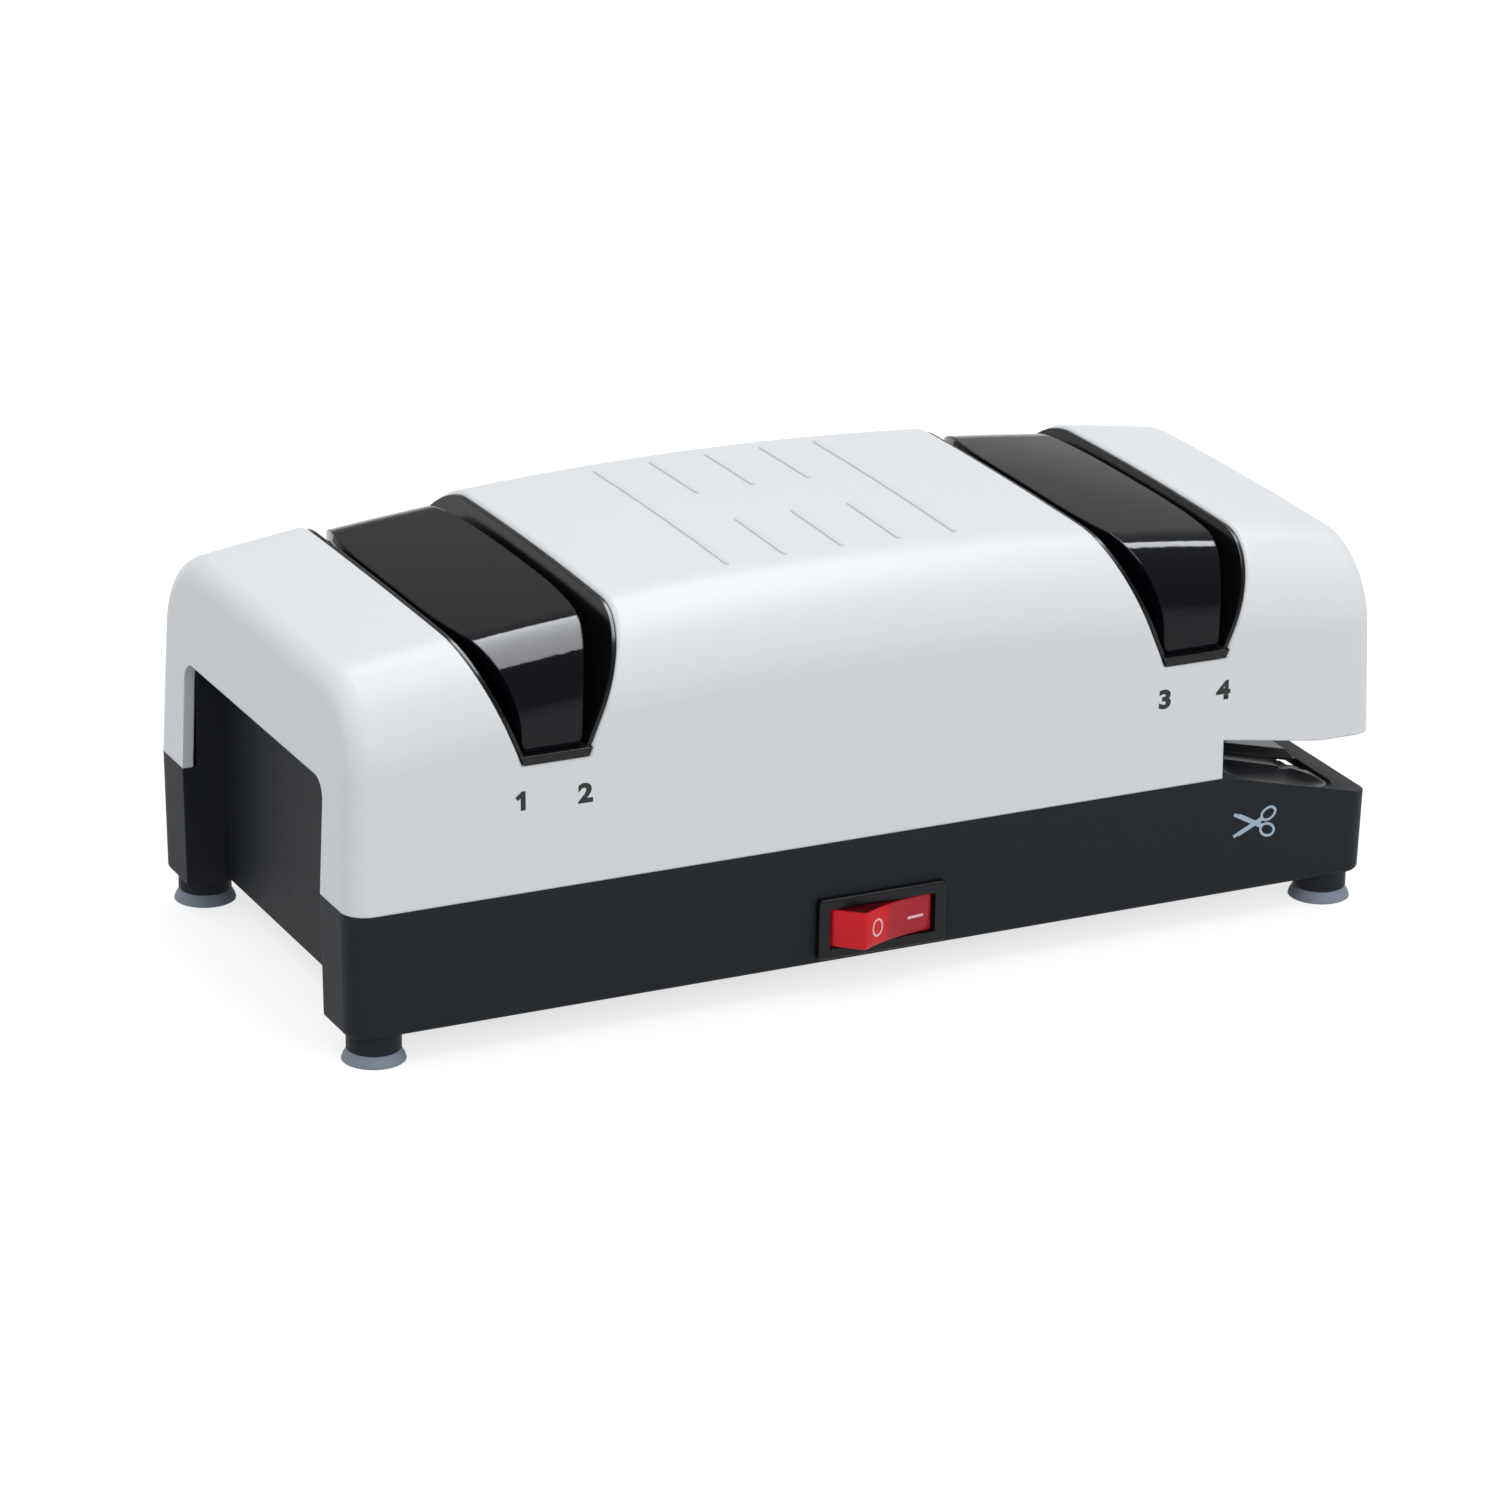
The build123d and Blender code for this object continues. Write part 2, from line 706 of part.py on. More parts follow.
# ---- scissor guide -----------------------------------------------------------------------------
with BuildPart() as scissor_guide:
    with BuildSketch(deck_plane):
        with Locations(((insert_start + insert_end) / 2, 0)):
            RectangleRounded(
                insert_end - insert_start - 2 * fit_gap,
                2 * (insert_reach - fit_gap),
                insert_corner,
            )
    extrude(amount=-deck_thickness)
    add(scoop_pads(0))
    with BuildSketch(deck_plane):
        with Locations(((hump_start + hump_end) / 2, 0)):
            Rectangle(hump_end - hump_start, 2 * tray_inner_y)
    extrude(amount=hump_height, taper=hump_taper)
    add(scoops(), mode=Mode.SUBTRACT)
    # dish and hole in each tray, the plate thinned round the hole from below
    dish_end = insert_end + 1
    relief_outer = tray_inner_y + hole_into_tray + 1
    for start, inner, outer, top, bottom in (
        (dish_start, tray_inner_y, tray_inner_y + dish_into_tray, 0, dish_depth),
        (hole_start, tray_inner_y, tray_inner_y + hole_into_tray, 0, 2 * deck_thickness),
        (hole_start - 1, tray_inner_y, relief_outer, dish_depth + hole_floor, 2 * deck_thickness),
        (hole_start - 1, tray_inner_y - lip_length, tray_inner_y, lip_floor, 2 * deck_thickness),
    ):
        with BuildSketch(deck_plane.offset(-top)):
            with Locations(((start + dish_end) / 2, 0)):
                middle = (inner + outer) / 2
                with Locations((0, middle), (0, -middle)):
                    Rectangle(dish_end - start, outer - inner)
        extrude(amount=top - bottom, mode=Mode.SUBTRACT)
    # opening for the scissor disc
    disc_from, disc_to = scissor_disc_x, scissor_disc_x + scissor_disc_thickness
    box_between(
        (disc_from - disc_opening_gap, -disc_opening_reach, 0),
        (disc_to + disc_opening_gap, disc_opening_reach, parting_z),
        Mode.SUBTRACT,
    )
keep("scissor_guide", scissor_guide.part)

# ---- slot liners, blade guides and magnets -------------------------------------------------------
liner_form = crowned_block(liner_sink)
guide_form = crowned_block(guide_sink)
with BuildPart() as guide_band:
    add(guide_form)
    add(crowned_block(guide_sink + guide_skin), mode=Mode.SUBTRACT)


def guide_outline(inset):
    """Plan of a blade guide: broad over the middle, narrow at both noses."""
    with BuildSketch() as outline:
        with BuildLine():
            for way in (-1, 1):
                Spline(
                    (guide_nose[0] - inset, way * (guide_nose[1] - inset)),
                    (guide_neck[0] - inset, way * guide_neck[1]),
                    (guide_shoulder[0] - inset, way * guide_shoulder[1]),
                    (guide_half_width - inset, 0),
                    tangents=[(0.55, -way), (0, -way)],
                )
                Line(
                    (guide_nose[0] - inset, way * (guide_nose[1] - inset)),
                    (0, way * (guide_nose[1] - inset)),
                )
            mirror(about=Plane.YZ)
        make_face()
    return outline.sketch


for stage, centre in stages.items():
    ledge_top = notch_bottom_z + ledge_height
    skirt_half = notch_half(notch_bottom_z) - fit_gap
    with BuildPart() as liner:
        high = crown_height + 1
        profile_xz(
            [
                (centre - skirt_half, notch_bottom_z + fit_gap),
                (centre + skirt_half, notch_bottom_z + fit_gap),
                (centre + notch_half(high) - fit_gap, high),
                (centre - notch_half(high) + fit_gap, high),
            ],
            -half_depth,
            half_depth,
        )
        add(liner_form, mode=Mode.INTERSECT)
        box_between(
            (centre - skirt_half, -liner_trough_reach, bracket_top),
            (centre + skirt_half, liner_trough_reach, notch_bottom_z + 1),
        )
        box_between(
            (centre - liner_floor_half_width, -liner_floor_reach, bracket_top),
            (centre + liner_floor_half_width, liner_floor_reach, liner_floor_z),
        )
        inner_half = skirt_half - liner_wall
        inner_start = notch_bottom_z + fit_gap
        inner_high = inner_half + notch_slope * (high - inner_start)
        profile_xz(
            [
                (centre - inner_half, inner_start),
                (centre - inner_high, high),
                (centre + inner_high, high),
                (centre + inner_half, inner_start),
            ],
            -far,
            far,
            Mode.SUBTRACT,
        )
        box_between(
            (centre - inner_half, -liner_trough_reach + liner_wall, liner_floor_z),
            (centre + inner_half, liner_trough_reach - liner_wall, ledge_top),
            Mode.SUBTRACT,
        )
        # ledges that close the bottom of the notch, front and back
        skin_y = half_depth - cover_slope * (ledge_top - parting_z)
        ledge_half = notch_half(ledge_top) - fit_gap
        for way in (-1, 1):
            near, deep = sorted((way * (liner_trough_reach - 0.5), way * (skin_y + ledge_proud)))
            profile_xz(
                [
                    (centre - skirt_half, inner_start),
                    (centre + skirt_half, inner_start),
                    (centre + ledge_half, ledge_top),
                    (centre - ledge_half, ledge_top),
                ],
                near,
                deep,
            )
            slot_start = disc_face - disc_thickness - disc_float - disc_slot_gap
            near, deep = sorted((way * slot_start, way * (disc_face + disc_slot_gap)))
            box_between(
                (centre + near, -disc_slot_reach, bracket_top - 1),
                (centre + deep, disc_slot_reach, liner_floor_z),
                Mode.SUBTRACT,
            )
    keep(f"{stage}_slot_liner", liner.part)

    with BuildPart() as guide_skin_strip:
        with BuildSketch(Plane((centre, 0, ledge_top + 0.2))):
            add(guide_outline(0))
        extrude(amount=crown_height - ledge_top)
        add(guide_band.part, mode=Mode.INTERSECT)
        high = crown_height + 1
        profile_xz(
            [
                (centre - notch_half(ledge_top) + guide_slit, ledge_top),
                (centre + notch_half(ledge_top) - guide_slit, ledge_top),
                (centre + notch_half(high) - guide_slit, high),
                (centre - notch_half(high) + guide_slit, high),
            ],
            -half_depth,
            half_depth,
            Mode.INTERSECT,
        )

    with BuildPart() as guide:
        bottom, high = guide_core_half_bottom, crown_height
        rise = notch_slope * (high - ledge_top)
        profile_xz(
            [
                (centre - bottom, liner_floor_z),
                (centre + bottom, liner_floor_z),
                (centre + bottom, ledge_top),
                (centre + bottom + rise, high),
                (centre - bottom - rise, high),
                (centre - bottom, ledge_top),
            ],
            -half_depth,
            half_depth,
        )
        with BuildSketch(Plane((centre, 0, liner_floor_z - 1))):
            add(guide_outline(guide_lip))
        extrude(amount=crown_height, mode=Mode.INTERSECT)
        add(guide_form, mode=Mode.INTERSECT)
        # the trunk stops short of the ledges
        for way in (-1, 1):
            near, deep = sorted((way * liner_floor_reach, way * half_depth))
            box_between(
                (centre - 2 * bottom, near, liner_floor_z - 1),
                (centre + 2 * bottom, deep, ledge_top + 0.2),
                Mode.SUBTRACT,
            )
        # room for the tops of the discs
        box_between(
            (centre - disc_radius, -disc_slot_reach, liner_floor_z - 1),
            (centre + disc_radius, disc_slot_reach, shaft_z + disc_radius + 1.5),
            Mode.SUBTRACT,
        )
        # pocket for the magnet bar, open below
        box_between(
            (centre - magnet_bar[0] / 2, -magnet_bar[1] / 2, liner_floor_z - 1),
            (centre + magnet_bar[0] / 2, magnet_bar[1] / 2, magnet_bar_z + magnet_bar[2]),
            Mode.SUBTRACT,
        )
        add(guide_skin_strip.part)
    keep(f"{stage}_guide", guide.part)

    with BuildPart() as magnet:
        box_between(
            (centre - magnet_bar[0] / 2, -magnet_bar[1] / 2, magnet_bar_z),
            (centre + magnet_bar[0] / 2, magnet_bar[1] / 2, magnet_bar_z + magnet_bar[2]),
        )
        fillet(magnet.edges().filter_by(Axis.Y), 0.4)
    keep(f"{stage}_guide_magnet", magnet.part)

    # ---- floating abrasive discs ----
    for side, way in sides.items():
        start = centre + way * (disc_face - disc_thickness)
        with BuildPart() as disc:
            cylinder_x(disc_radius, *sorted((start, centre + way * disc_face)))
            chamfer(disc.faces().sort_by(Axis.X)[-1 if way > 0 else 0].edges(), disc_edge)
            cylinder_x(hub_radius, centre - disc_radius, centre + disc_radius, Mode.SUBTRACT)
        keep(f"{stage}_disc_{side}", disc.part)
        with BuildPart() as hub:
            cylinder_x(hub_radius, *sorted((centre + way * hub_inner_end, centre + way * disc_face)))
            cylinder_x(hub_flange_radius, *sorted((start - way * hub_flange_thickness, start)))
            with BuildSketch(Plane.YZ.offset(centre - disc_radius)):
                with Locations((0, shaft_z)):
                    Circle(shaft_radius + running_gap)
                    Rectangle(
                        2 * (shaft_flat + running_gap), 3 * shaft_radius, mode=Mode.INTERSECT
                    )
            extrude(amount=2 * disc_radius, mode=Mode.SUBTRACT)
        keep(f"{stage}_hub_{side}", hub.part)

    with BuildPart() as spring:
        length = 2 * (spring_end - spring_wire_radius)
        with BuildLine() as coil:
            Helix(
                pitch=length / spring_turns,
                height=length,
                radius=spring_coil_radius,
                center=(centre - length / 2, 0, shaft_z),
                direction=(1, 0, 0),
            )
        with BuildSketch(Plane(origin=coil.line @ 0, z_dir=coil.line % 0)):
            Circle(spring_wire_radius)
        sweep(path=coil.line, is_frenet=True)
    keep(f"{stage}_disc_spring", spring.part)

# ---- shaft and retaining clips -------------------------------------------------------------------
with BuildPart() as motor_shaft:
    cylinder_x(shaft_radius, shaft_left, shaft_right)
    chamfer(motor_shaft.edges().filter_by(GeomType.CIRCLE), 0.5)
    for centre in stages.values():
        for way in (-1, 1):
            near, deep = sorted((way * shaft_flat, way * 2 * shaft_radius))
            box_between(
                (centre - disc_face, near, shaft_z - 2 * shaft_radius),
                (centre + disc_face, deep, shaft_z + 2 * shaft_radius),
                Mode.SUBTRACT,
            )
            groove = sorted((centre + way * disc_face, centre + way * (disc_face + clip_thickness)))
            with BuildSketch(Plane.YZ.offset(groove[0])):
                with Locations((0, shaft_z)):
                    Circle(shaft_radius + 1)
                    Circle(clip_groove_radius, mode=Mode.SUBTRACT)
            extrude(amount=clip_thickness, mode=Mode.SUBTRACT)
keep("motor_shaft", motor_shaft.part)

with BuildPart() as disc_clips:
    for centre in stages.values():
        for way in (-1, 1):
            groove = sorted((centre + way * disc_face, centre + way * (disc_face + clip_thickness)))
            with BuildSketch(Plane.YZ.offset(groove[0])):
                with Locations((0, shaft_z)):
                    Circle(clip_radius)
                    Circle(clip_groove_radius, mode=Mode.SUBTRACT)
                with Locations((0, shaft_z - clip_radius)):
                    Rectangle(clip_mouth, 2 * clip_radius, mode=Mode.SUBTRACT)
            extrude(amount=clip_thickness)
keep("disc_clips", disc_clips.part)

# ---- scissor disc at the shaft's right end --------------------------------------------------------
with BuildPart() as scissor_disc:
    cylinder_x(scissor_disc_radius, scissor_disc_x, scissor_disc_x + scissor_disc_thickness)
    chamfer(scissor_disc.edges().filter_by(GeomType.CIRCLE), 0.4)
    cylinder_x(scissor_hub_radius, scissor_disc_x - scissor_hub_length, scissor_disc_x)
    cylinder_x(shaft_radius, 0, far, Mode.SUBTRACT)
keep("scissor_disc", scissor_disc.part)

with BuildPart() as disc_nut:
    start = scissor_disc_x + scissor_disc_thickness
    with BuildSketch(Plane.YZ.offset(start)):
        with Locations((0, shaft_z)):
            RegularPolygon(nut_radius, 6)
            Circle(shaft_radius, mode=Mode.SUBTRACT)
    extrude(amount=nut_thickness)
keep("disc_nut", disc_nut.part)

# ---- shaft brackets and bushes --------------------------------------------------------------------
for side, way in sides.items():
    centre = way * stage_offset
    inner, outer = way * bracket_inner_face, way * partition_face
    half_width = bracket_half_width if side == "left" else base_inner_half_depth - fit_gap
    with BuildPart() as bracket:
        low_x, high_x = sorted((inner, outer))
        box_between((low_x, -half_width, floor_z), (high_x, half_width, bracket_top))
        if side == "right":
            # wider above the tongue of the base, up to the cover's skirt
            box_between(
                (low_x, -wing_reach, parting_z + lip_height + fit_gap),
                (high_x, wing_reach, wing_top),
            )
        if side == "left":
            foot_low, foot_high = sorted((inner, outer + way * bracket_foot))
            box_between(
                (foot_low, -half_width, floor_z),
                (foot_high, half_width, floor_z + bracket_thickness),
            )
        for y_way in (-1, 1):
            near, deep = sorted((y_way * pad_inner_y, y_way * pad_outer_y))
            pad_low, pad_high = sorted((centre - way * liner_floor_half_width, outer))
            if side == "left":
                box_between(
                    (low_x, near, bracket_top - 3 * pad_thickness), (high_x, deep, bracket_top)
                )
            box_between(
                (pad_low, near, bracket_top - pad_thickness), (pad_high, deep, bracket_top)
            )
        cylinder_x(boss_radius, *sorted((outer, inner + way * (bush_length - 1))))
        cylinder_x(bush_radius, -far, far, Mode.SUBTRACT)
    keep(f"shaft_bracket_{side}", bracket.part)
    with BuildPart() as bush:
        cylinder_x(bush_radius, *sorted((inner, inner + way * bush_length)))
        cylinder_x(shaft_radius + running_gap, -far, far, Mode.SUBTRACT)
    keep(f"shaft_bush_{side}", bush.part)

# ---- motor ---------------------------------------------------------------------------------------
with BuildPart() as motor_can:
    cylinder_x(can_radius, can_left, can_right)
    fillet(motor_can.faces().sort_by(Axis.X)[0].edges(), 1.5)
    cylinder_x(motor_boss_radius, can_left - motor_boss_length, can_left)
    cylinder_x(can_inner, can_left + can_wall, can_right, Mode.SUBTRACT)
    cylinder_x(motor_bush_radius, can_left - can_radius, can_right, Mode.SUBTRACT)
keep("motor_can", motor_can.part)

with BuildPart() as motor_end_bell:
    bell_start = can_right - bell_plate
    cylinder_x(can_inner, bell_start, can_right)
    cylinder_x(motor_boss_radius, can_right, can_right + motor_boss_length)
    with BuildSketch(Plane.YZ.offset(bell_start - bell_length)):
        with Locations((0, shaft_z)):
            Circle(can_inner)
            Circle(can_inner - brush_holder_wall, mode=Mode.SUBTRACT)
    extrude(amount=bell_length)
    cylinder_x(motor_bush_radius, 0, far, Mode.SUBTRACT)
keep("motor_end_bell", motor_end_bell.part)

with BuildPart() as motor_bushes:
    cylinder_x(motor_bush_radius, can_left - motor_boss_length, can_left + can_wall)
    cylinder_x(motor_bush_radius, can_right - bell_plate, can_right + motor_boss_length)
    cylinder_x(shaft_radius + running_gap, -far, far, Mode.SUBTRACT)
keep("motor_bushes", motor_bushes.part)

with BuildPart() as motor_magnets:
    with BuildSketch(Plane.YZ.offset(core_x - magnet_half_length)):
        with Locations((0, shaft_z)):
            Circle(can_inner)
            Circle(core_radius + air_gap, mode=Mode.SUBTRACT)
            for way in (0, 180):
                half_gap = radians(90 - magnet_arc / 2)
                side_y, side_z = can_radius * cos(half_gap), can_radius * sin(half_gap)
                mirrored = 1 if way == 0 else -1
                Polygon(
                    (0, 0),
                    (mirrored * side_y, -side_z),
                    (mirrored * far, -side_z),
                    (mirrored * far, side_z),
                    (mirrored * side_y, side_z),
                    align=None,
                    mode=Mode.SUBTRACT,
                )
    extrude(amount=2 * magnet_half_length)
keep("motor_magnets", motor_magnets.part)

with BuildPart() as pole_slots:
    slot_mid = core_radius - pole_slot_width / 2 - 2
    with BuildSketch(Plane.YZ.offset(core_x - core_half_length)):
        for index in range(pole_count):
            with Locations(Plane.XY.location * Pos(0, shaft_z) * Rot(Z=index * 360 / pole_count)):
                with Locations(((pole_slot_floor + slot_mid) / 2, 0)):
                    Rectangle(slot_mid - pole_slot_floor, pole_slot_width)
                with Locations((slot_mid, 0)):
                    Circle(pole_slot_width / 2)
                with Locations((core_radius, 0)):
                    Rectangle(8, pole_slot_width / 3)
    extrude(amount=2 * core_half_length)

with BuildPart() as armature_core:
    cylinder_x(core_radius, core_x - core_half_length, core_x + core_half_length)
    add(pole_slots.part, mode=Mode.SUBTRACT)
    cylinder_x(shaft_radius, -far, far, Mode.SUBTRACT)
keep("armature_core", armature_core.part)

with BuildPart() as armature_windings:
    ring_inner = pole_slot_floor + winding_gap
    ring_outer = slot_mid + pole_slot_width / 2 - winding_gap
    for way in (-1, 1):
        start = core_x + way * (core_half_length + winding_gap)
        low_x, high_x = sorted((start, start + way * winding_overhang))
        cylinder_x(ring_outer, low_x, high_x)
        crown = armature_windings.faces().sort_by(Axis.X)[-1 if way > 0 else 0]
        fillet(crown.edges(), 1.5)
    cylinder_x(ring_inner - 2, -far, far, Mode.SUBTRACT)
    with BuildSketch(Plane.YZ.offset(core_x - core_half_length - 1)):
        for index in range(pole_count):
            with Locations(Plane.XY.location * Pos(0, shaft_z) * Rot(Z=index * 360 / pole_count)):
                with Locations(((ring_inner + slot_mid) / 2, 0)):
                    Rectangle(slot_mid - ring_inner, pole_slot_width - 2 * winding_gap)
    extrude(amount=2 * core_half_length + 2)
keep("armature_windings", armature_windings.part)

with BuildPart() as commutator:
    cylinder_x(commutator_radius, commutator_start, commutator_start + commutator_length)
    with BuildSketch(Plane.YZ.offset(commutator_start)):
        with Locations((0, shaft_z)):
            with PolarLocations(commutator_radius, bar_count):
                Rectangle(2 * bar_groove, bar_groove)
    extrude(amount=commutator_length, mode=Mode.SUBTRACT)
    cylinder_x(shaft_radius, 0, far, Mode.SUBTRACT)
keep("commutator", commutator.part)

brush_x = commutator_start + commutator_length / 2 - 1
with BuildPart() as brushes:
    for way in (-1, 1):
        near, deep = sorted(
            (way * (commutator_radius + running_gap), way * (commutator_radius + brush_size[1]))
        )
        box_between(
            (brush_x - brush_size[0] / 2, near, shaft_z - brush_size[2] / 2),
            (brush_x + brush_size[0] / 2, deep, shaft_z + brush_size[2] / 2),
        )
keep("brushes", brushes.part)

with BuildPart() as brush_holders:
    half_x = brush_size[0] / 2 + brush_holder_wall
    half_z = brush_size[2] / 2 + brush_holder_wall
    holder_end = sqrt((can_inner - brush_holder_wall) ** 2 - half_z**2) - running_gap
    for way in (-1, 1):
        near, deep = sorted((way * brush_holder_start, way * holder_end))
        box_between(
            (brush_x - half_x, near, shaft_z - half_z), (brush_x + half_x, deep, shaft_z + half_z)
        )
        near, deep = sorted(
            (way * brush_holder_start, way * (commutator_radius + brush_size[1]))
        )
        box_between(
            (brush_x - brush_size[0] / 2, near, shaft_z - brush_size[2] / 2),
            (brush_x + brush_size[0] / 2, deep, shaft_z + brush_size[2] / 2),
            Mode.SUBTRACT,
        )
keep("brush_holders", brush_holders.part)

with BuildPart() as cooling_fan:
    cylinder_x(fan_hub_radius, fan_start, fan_start + fan_length)
    cylinder_x(fan_radius, fan_start, fan_start + fan_web)
    with BuildSketch(Plane.YZ.offset(fan_start)):
        for index in range(fan_blades):
            with Locations(Plane.XY.location * Pos(0, shaft_z) * Rot(Z=index * 360 / fan_blades)):
                with Locations(((fan_hub_radius + fan_radius) / 2, 0)):
                    Rectangle(fan_radius - fan_hub_radius - 0.4, fan_web)
    extrude(amount=fan_length)
    cylinder_x(shaft_radius, -far, far, Mode.SUBTRACT)
keep("cooling_fan", cooling_fan.part)

# ---- motor cradle, straps and their screws --------------------------------------------------------
with BuildPart() as motor_cradle:
    box_between(
        (-saddle_x - saddle_thickness / 2, -can_radius, floor_z),
        (saddle_x + saddle_thickness / 2, can_radius, floor_z + cradle_plate),
    )
    for way in (-1, 1):
        box_between(
            (way * saddle_x - saddle_thickness / 2, -saddle_half_width, floor_z),
            (way * saddle_x + saddle_thickness / 2, saddle_half_width, saddle_top),
        )
    cylinder_x(can_radius, -far, far, Mode.SUBTRACT)
    with BuildSketch(Plane.XY.offset(floor_z + cradle_plate)):
        with GridLocations(2 * saddle_x, 2 * strap_screw_y, 2, 2):
            Circle(strap_screw_radius)
    extrude(amount=far, mode=Mode.SUBTRACT)
keep("motor_cradle", motor_cradle.part)

with BuildPart() as motor_straps:
    outer = can_radius + strap_thickness
    for way in (-1, 1):
        start = way * saddle_x - saddle_thickness / 2
        with BuildSketch(Plane.YZ.offset(start)):
            with Locations((0, shaft_z)):
                Circle(outer)
            with Locations((0, (shaft_z + saddle_top) / 2)):
                Rectangle(2 * outer, shaft_z - saddle_top)
            with Locations((0, saddle_top - far / 2)):
                Rectangle(far, far, mode=Mode.SUBTRACT)
            with Locations((0, saddle_top + strap_thickness / 2)):
                Rectangle(2 * saddle_half_width, strap_thickness)
            with Locations((0, (shaft_z + saddle_top) / 2)):
                Rectangle(2 * can_radius, shaft_z - saddle_top, mode=Mode.SUBTRACT)
            with Locations((0, shaft_z)):
                Circle(can_radius, mode=Mode.SUBTRACT)
        extrude(amount=saddle_thickness)
    with BuildSketch(Plane.XY.offset(saddle_top)):
        with GridLocations(2 * saddle_x, 2 * strap_screw_y, 2, 2):
            Circle(strap_screw_radius)
    extrude(amount=strap_thickness, mode=Mode.SUBTRACT)
keep("motor_straps", motor_straps.part)

with BuildPart() as strap_screws:
    with BuildSketch(Plane.XY.offset(floor_z + cradle_plate)):
        with GridLocations(2 * saddle_x, 2 * strap_screw_y, 2, 2):
            Circle(strap_screw_radius)
    extrude(amount=saddle_top + strap_thickness - floor_z - cradle_plate)
    with BuildSketch(Plane.XY.offset(saddle_top + strap_thickness)):
        with GridLocations(2 * saddle_x, 2 * strap_screw_y, 2, 2):
            Circle(2 * strap_screw_radius)
    extrude(amount=screw_head_height)
keep("strap_screws", strap_screws.part)

with BuildPart() as cover_screws:
    with BuildSketch(Plane.XY.offset(screw_seat_z - screw_head_height)):
        with GridLocations(2 * screw_x, 2 * screw_y, 2, 2):
            Circle(screw_head_radius)
    extrude(amount=screw_head_height)
    with BuildSketch(Plane.XY.offset(screw_seat_z)):
        with GridLocations(2 * screw_x, 2 * screw_y, 2, 2):
            Circle(screw_radius)
    extrude(amount=parting_z + screw_reach - 2 - screw_seat_z)
    with BuildSketch(Plane.XY.offset(screw_seat_z - screw_head_height)):
        with GridLocations(2 * screw_x, 2 * screw_y, 2, 2):
            Rectangle(screw_head_radius, 0.8)
            Rectangle(0.8, screw_head_radius)
    extrude(amount=screw_head_height / 2, mode=Mode.SUBTRACT)
keep("cover_screws", cover_screws.part)

# ---- control board ---------------------------------------------------------------------------------
with BuildPart() as control_board:
    with BuildSketch(Plane.XY.offset(board_z)):
        with Locations((0, board_y)):
            Rectangle(board_length, board_width)
    extrude(amount=board_thickness)
keep("control_board", control_board.part)

board_top = board_z + board_thickness
with BuildPart() as board_components:
    for x in (-board_length / 4, 0):
        with BuildSketch(Plane.XY.offset(board_top)):
            with Locations((x, board_y)):
                Circle(capacitor_radius)
        extrude(amount=capacitor_height)
    fillet(board_components.faces().sort_by(Axis.Z)[-2:].edges(), 0.6)
    for index in range(4):
        x = board_length / 4 + (index - 1.5) * diode_pitch
        with BuildSketch(Plane.XZ.offset(-board_y + diode_length / 2)):
            with Locations((x, board_top + diode_radius)):
                Circle(diode_radius)
        extrude(amount=-diode_length)
keep("board_components", board_components.part)

# ---- switch ----------------------------------------------------------------------------------------
with BuildPart() as switch_body:
    with BuildSketch(Plane.XZ.offset(-bezel_back_y)):
        with Locations((0, switch_z)):
            Rectangle(switch_body_length, switch_body_height)
    extrude(amount=-switch_body_depth)
    with BuildSketch(Plane.XZ.offset(-bezel_back_y)):
        with Locations((0, switch_z)):
            RectangleRounded(bezel_length, bezel_height, bezel_corner)
    extrude(amount=bezel_proud)
    fillet(switch_body.faces().sort_by(Axis.Y)[0].edges(), bezel_corner / 2)
    pocket_depth = pivot_depth + rocker_radius * sin(radians(rocker_tail_angle)) + 0.5
    with BuildSketch(Plane.XZ.offset(-bezel_face_y)):
        with Locations((0, switch_z)):
            Rectangle(bezel_opening_length, bezel_opening_height)
    extrude(amount=-pocket_depth, mode=Mode.SUBTRACT)
    with BuildSketch(Plane.XY.offset(switch_z - bezel_opening_height / 2 - pivot_pin_reach - 0.1)):
        with Locations((0, pivot_y)):
            Circle(pivot_pin_radius + running_gap)
    extrude(amount=bezel_opening_height + 2 * pivot_pin_reach + 0.2, mode=Mode.SUBTRACT)
keep("switch_body", switch_body.part)

with BuildPart() as rocker:
    flush_y = bezel_face_y + rocker_sink
    pressed = degrees(asin((pivot_y - flush_y) / rocker_radius))
    raised = pressed + rocker_travel

    def rim(way, angle):
        """Point of the rocker's round ends, by degrees out from the pivot's plane."""
        return (
            way * rocker_radius * cos(radians(angle)),
            pivot_y - rocker_radius * sin(radians(angle)),
        )

    crest = (0, flush_y)
    left_mid = ((rim(-1, raised)[0]) / 2, (rim(-1, raised)[1] + flush_y) / 2 + rocker_dish)
    right_mid = (rim(1, pressed)[0] / 2, flush_y + rocker_dish)
    with BuildSketch(Plane.XY.offset(switch_z - rocker_height / 2)):
        with BuildLine():
            ThreePointArc(rim(-1, raised), left_mid, crest)
            ThreePointArc(crest, right_mid, rim(1, pressed))
            ThreePointArc(rim(1, pressed), rim(1, -rocker_travel / 2), rim(1, -rocker_tail_angle))
            Line(rim(1, -rocker_tail_angle), rim(-1, rocker_travel - rocker_tail_angle))
            ThreePointArc(
                rim(-1, rocker_travel - rocker_tail_angle), rim(-1, rocker_travel / 2), rim(-1, raised)
            )
        make_face()
    extrude(amount=rocker_height)
    with BuildSketch(Plane.XY.offset(switch_z - rocker_height / 2 - pivot_pin_reach)):
        with Locations((0, pivot_y)):
            Circle(pivot_pin_radius)
    extrude(amount=rocker_height + 2 * pivot_pin_reach)
keep("rocker", rocker.part)

with BuildPart() as switch_terminals:
    body_end = bezel_back_y + switch_body_depth
    for index in (-1, 0, 1):
        x = index * terminal_pitch
        box_between(
            (x - terminal_size[0] / 2, body_end, switch_z - terminal_size[2] / 2),
            (x + terminal_size[0] / 2, body_end + terminal_size[1], switch_z + terminal_size[2] / 2),
        )
keep("switch_terminals", switch_terminals.part)

